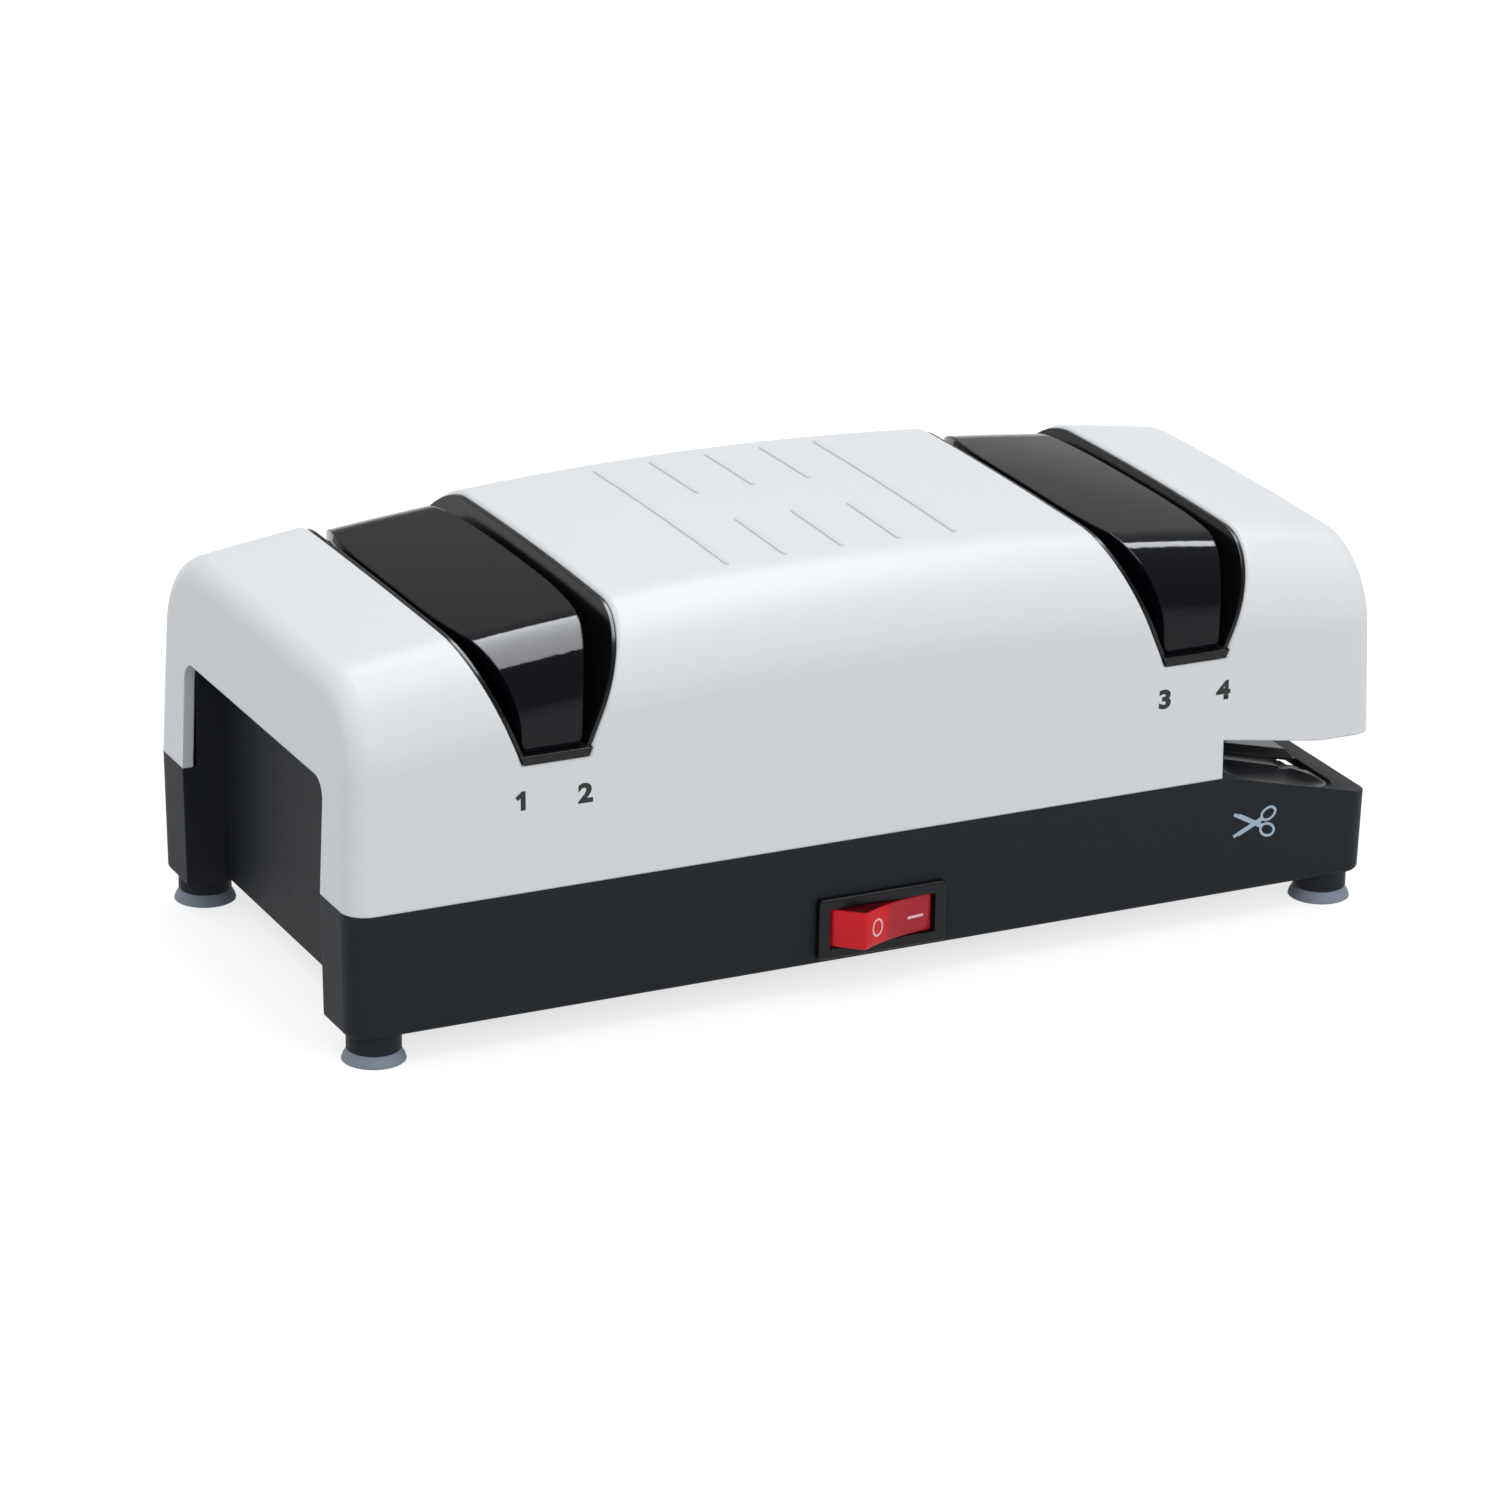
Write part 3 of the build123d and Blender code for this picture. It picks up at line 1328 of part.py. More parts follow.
# ---- cord bushing and feet ---------------------------------------------------------------------------
with BuildPart() as cord_bushing:
    wall_inside = base_inner_half_depth
    with BuildSketch(Plane.XZ.offset(-wall_inside + gland_flange)):
        with Locations((gland_x, gland_z)):
            Circle(gland_flange_radius)
    extrude(amount=-gland_flange)
    with BuildSketch(Plane.XZ.offset(-wall_inside)):
        with Locations((gland_x, gland_z)):
            Circle(gland_neck_radius)
    extrude(amount=-(gland_wall_y - wall_inside))
    with BuildSketch(Plane.XZ.offset(-gland_wall_y)):
        with Locations((gland_x, gland_z)):
            Circle(gland_flange_radius)
    extrude(amount=-gland_flange)
    fillet(cord_bushing.faces().sort_by(Axis.Y)[-1].edges(), 0.6)
    with BuildSketch(Plane.XZ.offset(-gland_wall_y - gland_flange)):
        with Locations((gland_x, gland_z)):
            Circle(gland_tail_radius)
    extrude(amount=-gland_tail)
    with BuildSketch(Plane.XZ.offset(-wall_inside + gland_flange)):
        with Locations((gland_x, gland_z)):
            Circle(gland_bore_radius)
    extrude(amount=-far, mode=Mode.SUBTRACT)
keep("cord_bushing", cord_bushing.part)

for end, x_way in {"left": -1, "right": 1}.items():
    for face, y_way in {"front": -1, "back": 1}.items():
        with BuildPart() as foot:
            with BuildSketch(Plane.XZ):
                with BuildLine():
                    Polyline(
                        (0, 0),
                        (foot_lip_radius, 0),
                        (foot_lip_radius - 0.3, 0.9),
                        (foot_boss_radius - 0.3, foot_boss_bottom),
                        (foot_stem_radius, foot_boss_bottom),
                        (foot_stem_radius, foot_boss_bottom + foot_stem_length - 0.4),
                        (0, foot_boss_bottom + foot_stem_length - 0.4),
                        close=True,
                    )
                make_face()
            revolve(axis=Axis.Z)
            with BuildSketch(Plane.XY):
                Circle(foot_cup_radius)
            extrude(amount=foot_cup_depth, taper=12, mode=Mode.SUBTRACT)
        keep(f"foot_{face}_{end}", Pos(x_way * foot_x, y_way * foot_y, 0) * foot.part)
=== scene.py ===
import math

import bpy
from mathutils import Matrix, Vector


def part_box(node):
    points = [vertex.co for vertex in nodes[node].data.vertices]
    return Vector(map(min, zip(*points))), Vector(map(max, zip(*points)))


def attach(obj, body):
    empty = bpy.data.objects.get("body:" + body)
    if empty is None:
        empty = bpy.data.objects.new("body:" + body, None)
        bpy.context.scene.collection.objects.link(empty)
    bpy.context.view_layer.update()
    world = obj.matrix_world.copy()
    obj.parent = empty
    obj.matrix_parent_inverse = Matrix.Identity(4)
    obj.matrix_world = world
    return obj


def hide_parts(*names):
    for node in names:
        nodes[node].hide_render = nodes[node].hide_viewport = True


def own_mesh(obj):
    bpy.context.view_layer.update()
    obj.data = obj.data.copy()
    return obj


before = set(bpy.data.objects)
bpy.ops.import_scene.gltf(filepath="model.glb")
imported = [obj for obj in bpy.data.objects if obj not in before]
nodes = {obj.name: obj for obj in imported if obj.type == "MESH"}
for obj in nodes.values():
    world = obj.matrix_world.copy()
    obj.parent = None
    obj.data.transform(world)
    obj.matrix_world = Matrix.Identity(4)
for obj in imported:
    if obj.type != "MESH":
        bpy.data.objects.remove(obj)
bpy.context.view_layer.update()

mm = 0.001
print("frame loaded:", len(nodes), "nodes")


def deselectAll():
    for thing in bpy.context.selected_objects:
        thing.select_set(False)


def pickOnly(thing):
    deselectAll()
    thing.select_set(True)
    bpy.context.view_layer.objects.active = thing


def applyPlace(thing):
    pickOnly(thing)
    bpy.ops.object.transform_apply(location=True, rotation=True, scale=True)


def applyModifiers(thing):
    pickOnly(thing)
    for modifier in list(thing.modifiers):
        bpy.ops.object.modifier_apply(modifier=modifier.name)


def joinAll(parts, name):
    deselectAll()
    for part in parts:
        part.select_set(True)
    bpy.context.view_layer.objects.active = parts[0]
    bpy.ops.object.join()
    bpy.context.object.name = name
    return bpy.context.object


def editAll(action="SELECT"):
    bpy.ops.object.mode_set(mode="EDIT")
    bpy.ops.mesh.select_all(action=action)


def leaveEdit():
    bpy.ops.object.mode_set(mode="OBJECT")


def editWhere(piece, wanted):  # opens the mesh with only the wanted vertices selected
    editAll("DESELECT")
    leaveEdit()
    for vertex in piece.data.vertices:
        vertex.select = wanted(vertex.co)
    bpy.ops.object.mode_set(mode="EDIT")


# shader groups
def newGroup(name, inputs, outputs):
    tree = bpy.data.node_groups.new(name, "ShaderNodeTree")
    for label, kind, value in inputs:
        tree.interface.new_socket(label, in_out="INPUT", socket_type=kind).default_value = value
    for label, kind in outputs:
        tree.interface.new_socket(label, in_out="OUTPUT", socket_type=kind)
    start = tree.nodes.new("NodeGroupInput")
    end = tree.nodes.new("NodeGroupOutput")
    start.location, end.location = (-900, 0), (600, 0)
    return tree, start, end


def addMath(tree, operation, first, second, clamp=False):
    node = tree.nodes.new("ShaderNodeMath")
    node.operation, node.use_clamp = operation, clamp
    for index, value in enumerate((first, second)):
        if isinstance(value, (int, float)):
            node.inputs[index].default_value = value
        else:
            tree.links.new(value, node.inputs[index])
    return node.outputs[0]


def swing(tree, noise, amount, about, clamp=False):  # about, give or take half of amount
    offset = addMath(tree, "MULTIPLY", addMath(tree, "SUBTRACT", noise, 0.5), amount)
    return addMath(tree, "ADD", offset, about, clamp)


def mixTints(tree, share, first, second):
    mix = tree.nodes.new("ShaderNodeMix")
    mix.data_type = "RGBA"
    tree.links.new(share, mix.inputs["Factor"])
    for socket, tint in ((mix.inputs[6], first), (mix.inputs[7], second)):
        if isinstance(tint, tuple):
            socket.default_value = tint
        else:
            tree.links.new(tint, socket)
    return mix.outputs[2]


def scaleTint(tree, tint, share, target):
    node = tree.nodes.new("ShaderNodeVectorMath")
    node.operation = "SCALE"
    tree.links.new(tint, node.inputs[0])
    tree.links.new(share, node.inputs["Scale"])
    tree.links.new(node.outputs[0], target)


def objectPoint(tree, stretch=(1, 1, 1)):
    place = tree.nodes.new("ShaderNodeTexCoord")
    mapping = tree.nodes.new("ShaderNodeMapping")
    mapping.inputs["Scale"].default_value = stretch
    tree.links.new(place.outputs["Object"], mapping.inputs["Vector"])
    return mapping.outputs["Vector"]


def noiseOf(tree, point, scale, detail=3.0):
    noise = tree.nodes.new("ShaderNodeTexNoise")
    tree.links.new(point, noise.inputs["Vector"])
    if isinstance(scale, (int, float)):
        noise.inputs["Scale"].default_value = scale
    else:
        tree.links.new(scale, noise.inputs["Scale"])
    noise.inputs["Detail"].default_value = detail
    return noise.outputs["Fac"]


surfaceOutputs = [
    ("Color", "NodeSocketColor"),
    ("Roughness", "NodeSocketFloat"),
    ("Height", "NodeSocketFloat"),
]


def makeMouldedSkin():  # moulded plastic: orange peel or spark texture, drifting gloss and tint
    skin = {"broad": 22.0, "cloudy": 95.0, "plainDetail": 2.0}
    tree, start, end = newGroup(
        "mouldedSkin",
        [
            ("Tint", "NodeSocketColor", (0.5, 0.5, 0.5, 1)),
            ("Tint Drift", "NodeSocketFloat", 0.04),
            ("Roughness", "NodeSocketFloat", 0.3),
            ("Roughness Drift", "NodeSocketFloat", 0.05),
            ("Grain Scale", "NodeSocketFloat", 900.0),
        ],
        surfaceOutputs,
    )
    given = start.outputs
    point = objectPoint(tree)
    broad = noiseOf(tree, point, skin["broad"], skin["plainDetail"])
    cloudy = noiseOf(tree, point, skin["cloudy"])
    grain = noiseOf(tree, point, given["Grain Scale"], skin["plainDetail"])
    shade = swing(tree, broad, given["Tint Drift"], 1.0)
    scaleTint(tree, given["Tint"], shade, end.inputs["Color"])
    gloss = swing(tree, cloudy, given["Roughness Drift"], given["Roughness"], True)
    tree.links.new(gloss, end.inputs["Roughness"])
    tree.links.new(grain, end.inputs["Height"])
    return tree


def makeGroundLines():  # long fine scratches along X, for ground, drawn and turned metal
    scratch = {"stretch": (0.04, 1, 1), "detail": 4.0, "smudge": 60.0, "contrast": 0.25, "darkest": 0.86}
    tree, start, end = newGroup(
        "groundLines",
        [
            ("Tint", "NodeSocketColor", (0.6, 0.6, 0.6, 1)),
            ("Line Scale", "NodeSocketFloat", 900.0),
            ("Roughness", "NodeSocketFloat", 0.3),
            ("Roughness Drift", "NodeSocketFloat", 0.15),
        ],
        surfaceOutputs,
    )
    given = start.outputs
    lines = noiseOf(tree, objectPoint(tree, scratch["stretch"]), given["Line Scale"], scratch["detail"])
    smudge = noiseOf(tree, objectPoint(tree), scratch["smudge"])
    shade = addMath(tree, "ADD", addMath(tree, "MULTIPLY", lines, scratch["contrast"]), scratch["darkest"])
    scaleTint(tree, given["Tint"], shade, end.inputs["Color"])
    gloss = swing(tree, smudge, given["Roughness Drift"], given["Roughness"], True)
    tree.links.new(gloss, end.inputs["Roughness"])
    tree.links.new(lines, end.inputs["Height"])
    return tree


def makeGritCoat():  # bonded abrasive: bright grains standing in a darker binder
    grit = {"sharpness": 3.0, "binderRoughness": 0.95, "grainGloss": 0.3}
    tree, start, end = newGroup(
        "gritCoat",
        [
            ("Binder", "NodeSocketColor", (0.3, 0.3, 0.3, 1)),
            ("Grain", "NodeSocketColor", (0.7, 0.7, 0.7, 1)),
            ("Grit Scale", "NodeSocketFloat", 1500.0),
        ],
        surfaceOutputs,
    )
    given = start.outputs
    cells = tree.nodes.new("ShaderNodeTexVoronoi")
    tree.links.new(objectPoint(tree), cells.inputs["Vector"])
    tree.links.new(given["Grit Scale"], cells.inputs["Scale"])
    near = addMath(tree, "SUBTRACT", 1.0, cells.outputs["Distance"], True)
    sharp = addMath(tree, "POWER", near, grit["sharpness"])
    tree.links.new(mixTints(tree, sharp, given["Binder"], given["Grain"]), end.inputs["Color"])
    shine = addMath(tree, "MULTIPLY", sharp, grit["grainGloss"])
    tree.links.new(addMath(tree, "SUBTRACT", grit["binderRoughness"], shine), end.inputs["Roughness"])
    tree.links.new(near, end.inputs["Height"])
    return tree


groups = {"skin": makeMouldedSkin(), "lines": makeGroundLines(), "grit": makeGritCoat()}


# materials
def srgb(red, green, blue):
    def line(v):
        v /= 255
        return v / 12.92 if v <= 0.04045 else ((v + 0.055) / 1.055) ** 2.4

    return (line(red), line(green), line(blue), 1.0)


def newMaterial(name):
    material = bpy.data.materials.new(name)
    material.use_nodes = True
    return material


def placeGroup(material, key, values, bump, bumpDepth, softEdge=0.0):  # depth and edge in millimetres
    tree = material.node_tree
    shader = tree.nodes["Principled BSDF"]
    group = tree.nodes.new("ShaderNodeGroup")
    group.node_tree = groups[key]
    group.location = (-500, 100)
    for label, value in values.items():
        group.inputs[label].default_value = value
    tree.links.new(group.outputs["Color"], shader.inputs["Base Color"])
    tree.links.new(group.outputs["Roughness"], shader.inputs["Roughness"])
    relief = tree.nodes.new("ShaderNodeBump")
    relief.location = (-250, -250)
    relief.inputs["Strength"].default_value = bump
    relief.inputs["Distance"].default_value = bumpDepth * mm
    tree.links.new(group.outputs["Height"], relief.inputs["Height"])
    tree.links.new(relief.outputs["Normal"], shader.inputs["Normal"])
    if softEdge:  # moulded edges are never quite sharp
        rounding = tree.nodes.new("ShaderNodeBevel")
        rounding.samples = 6
        rounding.location = (-500, -350)
        rounding.inputs["Radius"].default_value = softEdge * mm
        tree.links.new(rounding.outputs["Normal"], relief.inputs["Normal"])
    return shader


def mouldedPlastic(
    name, tint, roughness, drift, grainScale, bump, specular=0.5, tintDrift=0.03, softEdge=0.35, bumpDepth=0.2
):
    material = newMaterial(name)
    values = {
        "Tint": srgb(*tint),
        "Tint Drift": tintDrift,
        "Roughness": roughness,
        "Roughness Drift": drift,
        "Grain Scale": grainScale,
    }
    shader = placeGroup(material, "skin", values, bump, bumpDepth, softEdge)
    shader.inputs["Specular IOR Level"].default_value = specular
    return material


def bareMetal(name, tint, roughness, lineScale, bump=0.15, drift=0.18, softEdge=0.15, bumpDepth=0.1):
    material = newMaterial(name)
    values = {
        "Tint": srgb(*tint),
        "Line Scale": lineScale,
        "Roughness": roughness,
        "Roughness Drift": drift,
    }
    shader = placeGroup(material, "lines", values, bump, bumpDepth, softEdge)
    shader.inputs["Metallic"].default_value = 1.0
    return material


def gritFace(name, binder, grain, scale, bump=0.6, bumpDepth=0.2):
    material = newMaterial(name)
    values = {"Binder": srgb(*binder), "Grain": srgb(*grain), "Grit Scale": scale}
    placeGroup(material, "grit", values, bump, bumpDepth)
    return material


# tints are 0 to 255, grain and line scales are per metre, soft edges are in millimetres
ink = {
    "roughness": 0.45, "drift": 0.08, "grainScale": 2000.0, "bump": 0.05, "tintDrift": 0.02, "softEdge": 0.0,
}

plastics = {
    "coverWhite": {
        "tint": (233, 234, 235), "roughness": 0.34, "drift": 0.05, "grainScale": 420.0, "bump": 0.01,
        "specular": 0.05, "tintDrift": 0.012, "softEdge": 0.6,
    },
    "baseBlack": {
        "tint": (40, 43, 47), "roughness": 0.5, "drift": 0.08, "grainScale": 3200.0, "bump": 0.2,
        "specular": 0.08, "softEdge": 0.6,
    },
    "trimBlack": {
        "tint": (9, 11, 18), "roughness": 0.07, "drift": 0.03, "grainScale": 350.0, "bump": 0.01,
        "specular": 0.2, "softEdge": 0.7,
    },
    "linerBlack": {
        "tint": (12, 12, 14), "roughness": 0.24, "drift": 0.06, "grainScale": 900.0, "bump": 0.05,
        "specular": 0.3, "softEdge": 0.4,
    },
    "deckBlack": {
        "tint": (22, 25, 31), "roughness": 0.24, "drift": 0.05, "grainScale": 700.0, "bump": 0.03,
        "specular": 0.4, "softEdge": 0.4,
    },
    "innerBlack": {
        "tint": (24, 24, 26), "roughness": 0.5, "drift": 0.1, "grainScale": 2400.0, "bump": 0.25,
    },
    "bezelBlack": {
        "tint": (11, 12, 16), "roughness": 0.34, "drift": 0.06, "grainScale": 2800.0, "bump": 0.12,
        "specular": 0.25, "softEdge": 0.5,
    },
    "footRubber": {
        "tint": (138, 146, 158), "roughness": 0.62, "drift": 0.1, "grainScale": 1800.0, "bump": 0.3,
        "specular": 0.3, "tintDrift": 0.08,
    },
    "nylonHub": {
        "tint": (222, 219, 208), "roughness": 0.45, "drift": 0.08, "grainScale": 1500.0, "bump": 0.1,
    },
    "carbonBlock": {
        "tint": (34, 34, 36), "roughness": 0.55, "drift": 0.12, "grainScale": 2600.0, "bump": 0.3,
    },
    "boardGreen": {
        "tint": (28, 92, 52), "roughness": 0.35, "drift": 0.1, "grainScale": 1200.0, "bump": 0.1,
        "tintDrift": 0.1,
    },
    "ferriteGrey": {
        "tint": (62, 62, 66), "roughness": 0.6, "drift": 0.15, "grainScale": 1500.0, "bump": 0.3,
        "tintDrift": 0.1,
    },
    "inkBlack": {"tint": (8, 9, 12), **ink},
    "inkPale": {"tint": (170, 190, 208), **ink},
    "inkWhite": {"tint": (252, 205, 208), **ink},
}

metals = {
    "groundSteel": {"tint": (196, 198, 200), "roughness": 0.26, "lineScale": 1400.0},
    "zincCan": {"tint": (178, 181, 184), "roughness": 0.38, "lineScale": 500.0, "bump": 0.1},
    "stampedCore": {"tint": (118, 118, 122), "roughness": 0.45, "lineScale": 3000.0, "bump": 0.5},
    "sinteredBronze": {"tint": (182, 142, 88), "roughness": 0.42, "lineScale": 2200.0, "bump": 0.2},
    "enamelledCopper": {"tint": (176, 92, 44), "roughness": 0.3, "lineScale": 1800.0, "bump": 0.4},
}

grits = {
    "coarseGrit": {"binder": (96, 74, 52), "grain": (190, 170, 140), "scale": 1300.0},
    "fineGrit": {"binder": (150, 146, 138), "grain": (225, 222, 214), "scale": 2600.0},
}


def makeRedLensPaintedGlow():  # clear red rocker with fine ribs behind its right half; its colour is also emitted as a painted glow, and faces turned upward get a darker red as painted shade
    look = {
        "bright": (206, 14, 30),
        "deep": (176, 14, 30),
        "pale": (156, 38, 50),
        # painted shade: the darker red of faces that turn upward
        "top": (74, 8, 14),
        "ribs": 750.0,
        "seam": 1.2,  # millimetres over which the plain half turns into the ribbed one
        "topSlope": (0.5, 0.9),
        # painted glow: the lens emits its own colour, though no lamp lights it from inside
        "glow": 0.14,
        "roughness": 0.12,
        "specular": 0.2,
    }
    material = newMaterial("redLensPaintedGlow")
    tree = material.node_tree
    shader = tree.nodes["Principled BSDF"]
    place = tree.nodes.new("ShaderNodeTexCoord")
    ribs = tree.nodes.new("ShaderNodeTexWave")
    ribs.wave_type, ribs.bands_direction = "BANDS", "X"
    ribs.inputs["Scale"].default_value = look["ribs"]
    tree.links.new(place.outputs["Object"], ribs.inputs["Vector"])
    split = tree.nodes.new("ShaderNodeSeparateXYZ")
    tree.links.new(place.outputs["Object"], split.inputs[0])
    half = tree.nodes.new("ShaderNodeMapRange")
    half.inputs["From Min"].default_value = 0.0
    half.inputs["From Max"].default_value = look["seam"] * mm
    tree.links.new(split.outputs["X"], half.inputs["Value"])
    # painted shade: faces whose normals point up blend toward the darker top red
    facing = tree.nodes.new("ShaderNodeSeparateXYZ")
    tree.links.new(tree.nodes.new("ShaderNodeNewGeometry").outputs["Normal"], facing.inputs[0])
    paintedTopShade = tree.nodes.new("ShaderNodeMapRange")
    paintedTopShade.inputs["From Min"].default_value, paintedTopShade.inputs["From Max"].default_value = look["topSlope"]
    tree.links.new(facing.outputs["Z"], paintedTopShade.inputs["Value"])
    ribbed = mixTints(tree, ribs.outputs["Fac"], srgb(*look["pale"]), srgb(*look["deep"]))
    front = mixTints(tree, half.outputs[0], srgb(*look["bright"]), ribbed)
    shaded = mixTints(tree, paintedTopShade.outputs[0], front, srgb(*look["top"]))
    tree.links.new(shaded, shader.inputs["Base Color"])
    # painted glow: the lens colour is fed to emission as well
    tree.links.new(shaded, shader.inputs["Emission Color"])
    shader.inputs["Emission Strength"].default_value = look["glow"]
    shader.inputs["Roughness"].default_value = look["roughness"]
    shader.inputs["Specular IOR Level"].default_value = look["specular"]
    return material


finishes = {}
for rows, makeFinish in ((plastics, mouldedPlastic), (metals, bareMetal), (grits, gritFace)):
    for finishName, row in rows.items():
        finishes[finishName] = makeFinish(finishName, **row)
finishes["redLensPaintedGlow"] = makeRedLensPaintedGlow()

nodesIn = {
    "coverWhite": ["top_cover"],
    "baseBlack": ["base_housing", "shaft_bracket_right"],
    "deckBlack": ["scissor_guide"],
    "trimBlack": ["coarse_guide", "fine_guide"],
    "linerBlack": ["coarse_slot_liner", "fine_slot_liner"],
    "bezelBlack": ["switch_body"],
    "redLensPaintedGlow": ["rocker"],
    "footRubber": ["foot_front_left", "foot_front_right", "foot_back_left", "foot_back_right"],
    "innerBlack": [
        "shaft_bracket_left", "motor_end_bell", "motor_cradle", "board_components", "cord_bushing",
    ],
    "sinteredBronze": [
        "shaft_bush_left", "shaft_bush_right", "motor_bushes", "brush_holders", "switch_terminals",
    ],
    "groundSteel": [
        "motor_straps", "strap_screws", "cover_screws", "motor_shaft", "disc_clips", "disc_nut",
        "coarse_disc_spring", "fine_disc_spring",
    ],
    "ferriteGrey": ["coarse_guide_magnet", "fine_guide_magnet", "motor_magnets"],
    "zincCan": ["motor_can"],
    "carbonBlock": ["brushes"],
    "stampedCore": ["armature_core"],
    "enamelledCopper": ["armature_windings", "commutator"],
    "boardGreen": ["control_board"],
    "nylonHub": ["cooling_fan", "coarse_hub_left", "coarse_hub_right", "fine_hub_left", "fine_hub_right"],
    "coarseGrit": ["coarse_disc_left", "coarse_disc_right"],
    "fineGrit": ["scissor_disc", "fine_disc_left", "fine_disc_right"],
}
finishOf = {nodeName: finishName for finishName, nodeNames in nodesIn.items() for nodeName in nodeNames}


def wear(thing, finishName):
    if not thing.data.materials:
        thing.data.materials.append(None)
    for index in range(len(thing.data.materials)):
        thing.data.materials[index] = finishes[finishName]


for nodeName, finishName in finishOf.items():
    wear(nodes[nodeName], finishName)
print("finishes placed on", len(finishOf), "nodes")


# printed marks: each starts flat in front of the machine and is laid back onto the surface behind it
film = {"start": -70 * mm, "lift": 0.03}


def layFilm(mark, carrier, lift=film["lift"]):
    applyPlace(mark)
    bpy.ops.object.modifier_add(type="SHRINKWRAP")
    wrap = mark.modifiers[-1]
    wrap.wrap_method = "PROJECT"
    wrap.use_project_x = wrap.use_project_z = False
    wrap.use_project_y = True
    wrap.use_negative_direction = wrap.use_positive_direction = True
    wrap.target = carrier
    wrap.offset = lift * mm
    applyModifiers(mark)
    return mark


def finishMark(mark, finishName, body):
    wear(mark, finishName)
    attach(mark, body)


def standUp(flat, x, z, front, turn):
    upright = Matrix.Rotation(math.pi / 2, 4, "X") @ Matrix.Rotation(math.radians(turn), 4, "Z")
    flat.matrix_world = Matrix.Translation(Vector((x * mm, front, z * mm))) @ upright
    applyPlace(flat)
    return flat


def addSheet(x, z, width, height, front, cuts=0, turn=0.0):  # an upright flat rectangle, tilted by turn
    deselectAll()
    bpy.ops.mesh.primitive_plane_add(size=1, location=(0, 0, 0))
    sheet = bpy.context.object
    sheet.scale = (width * mm, height * mm, 1)
    applyPlace(sheet)
    if cuts:
        editAll()
        bpy.ops.mesh.subdivide(number_cuts=cuts)
        leaveEdit()
    return standUp(sheet, x, z, front, turn)


def addRing(x, z, width, height, band, front, turn=0.0):  # an upright flat oval ring
    deselectAll()
    bpy.ops.mesh.primitive_circle_add(vertices=48, radius=0.5, location=(0, 0, 0))
    ring = bpy.context.object
    ring.scale = (width * mm, height * mm, 1)
    applyPlace(ring)
    editAll()
    bpy.ops.mesh.extrude_edges_move()
    bpy.ops.transform.resize(value=(1 - 2 * band / width, 1 - 2 * band / height, 1))
    leaveEdit()
    return standUp(ring, x, z, front, turn)


def makeDigits():
    digits = {
        "height": 4.3,
        "places": {"1": (-85.6, 56.1), "2": (-70.8, 55.5), "3": (69.9, 56.1), "4": (84.8, 56.1)},
        "weight": 0.26,  # thickens the strokes
        "widen": 1.16,
        "figureShare": 0.7,  # a figure's height as a share of the text size
        "curveSteps": 8,
        "cuts": 6,
        "stem": {"across": 0.35, "width": 1.15},
        "flag": {"across": -0.45, "down": 1.05, "length": 1.8, "thick": 1.0, "slope": 36, "lift": 0.05},
    }
    cover, tall, front = nodes["top_cover"], digits["height"], film["start"]
    stemLook, flagLook = digits["stem"], digits["flag"]
    for figure, (x, z) in digits["places"].items():
        if figure == "1":  # a plain stem with a slanting flag at its head
            stem = addSheet(x + stemLook["across"], z, stemLook["width"], tall, front, digits["cuts"])
            flag = addSheet(
                x + flagLook["across"], z + tall / 2 - flagLook["down"], flagLook["length"],
                flagLook["thick"], front, digits["cuts"], flagLook["slope"],
            )
            mark = joinAll([layFilm(stem, cover), layFilm(flag, cover, flagLook["lift"])], "digit_1")
        else:
            deselectAll()
            bpy.ops.object.text_add(location=(x * mm, front, z * mm), rotation=(math.pi / 2, 0, 0))
            mark = bpy.context.object
            mark.name = f"digit_{figure}"
            mark.data.body = figure
            mark.data.align_x, mark.data.align_y = "CENTER", "CENTER"
            mark.data.size = (tall * mm - digits["weight"] * mm) / digits["figureShare"]
            mark.data.offset = digits["weight"] * mm
            mark.data.resolution_u = digits["curveSteps"]
            bpy.ops.object.convert(target="MESH")
            mark.scale.x = digits["widen"]
            layFilm(mark, cover)
        finishMark(mark, "inkBlack", "housing")


makeDigits()
print("digits laid on the cover")


def makeScissorsSign():  # two oval finger loops and two plain crossed blades
    sign = {
        "loops": [(97.8, 25.1, 28), (97.7, 21.2, -28)],
        "loop": (4.3, 3.4, 0.62),
        "blades": [((88.9, 26.3), (96.4, 22.2)), ((89.0, 20.6), (96.4, 24.2))],
        "bladeWidth": 1.1,
        "cuts": 5,
        "tip": 1.3,  # how far the outer corner is drawn back, so that a blade ends in a slant
        "cornerShare": 0.3,  # share of the width beyond which a vertex is the outer corner
        "liftStep": 0.02,  # each part lies a little above the last
    }
    nearTip = 0.01
    width, height, band = sign["loop"]
    parts = [addRing(x, z, width, height, band, film["start"], turn) for x, z, turn in sign["loops"]]
    for (tipX, tipZ), (endX, endZ) in sign["blades"]:
        length = math.hypot(endX - tipX, endZ - tipZ)
        slope = math.degrees(math.atan2(endZ - tipZ, endX - tipX))
        outer = -1 if slope > 0 else 1
        tipEdge = (-length / 2 + nearTip) * mm
        corner = sign["cornerShare"] * sign["bladeWidth"] * mm
        blade = addSheet(0, 0, length, sign["bladeWidth"], 0, sign["cuts"])
        editWhere(blade, lambda spot: spot.x < tipEdge and spot.z * outer > corner)
        bpy.ops.transform.translate(value=(sign["tip"] * mm, 0, 0))
        leaveEdit()
        middle = Vector(((tipX + endX) / 2 * mm, film["start"], (tipZ + endZ) / 2 * mm))
        blade.matrix_world = Matrix.Translation(middle) @ Matrix.Rotation(-math.radians(slope), 4, "Y")
        applyPlace(blade)
        parts.append(blade)
    films = [
        layFilm(part, nodes["base_housing"], film["lift"] + sign["liftStep"] * step)
        for step, part in enumerate(parts)
    ]
    finishMark(joinAll(films, "scissors_sign"), "inkPale", "housing")


makeScissorsSign()
print("scissors sign laid on the base")


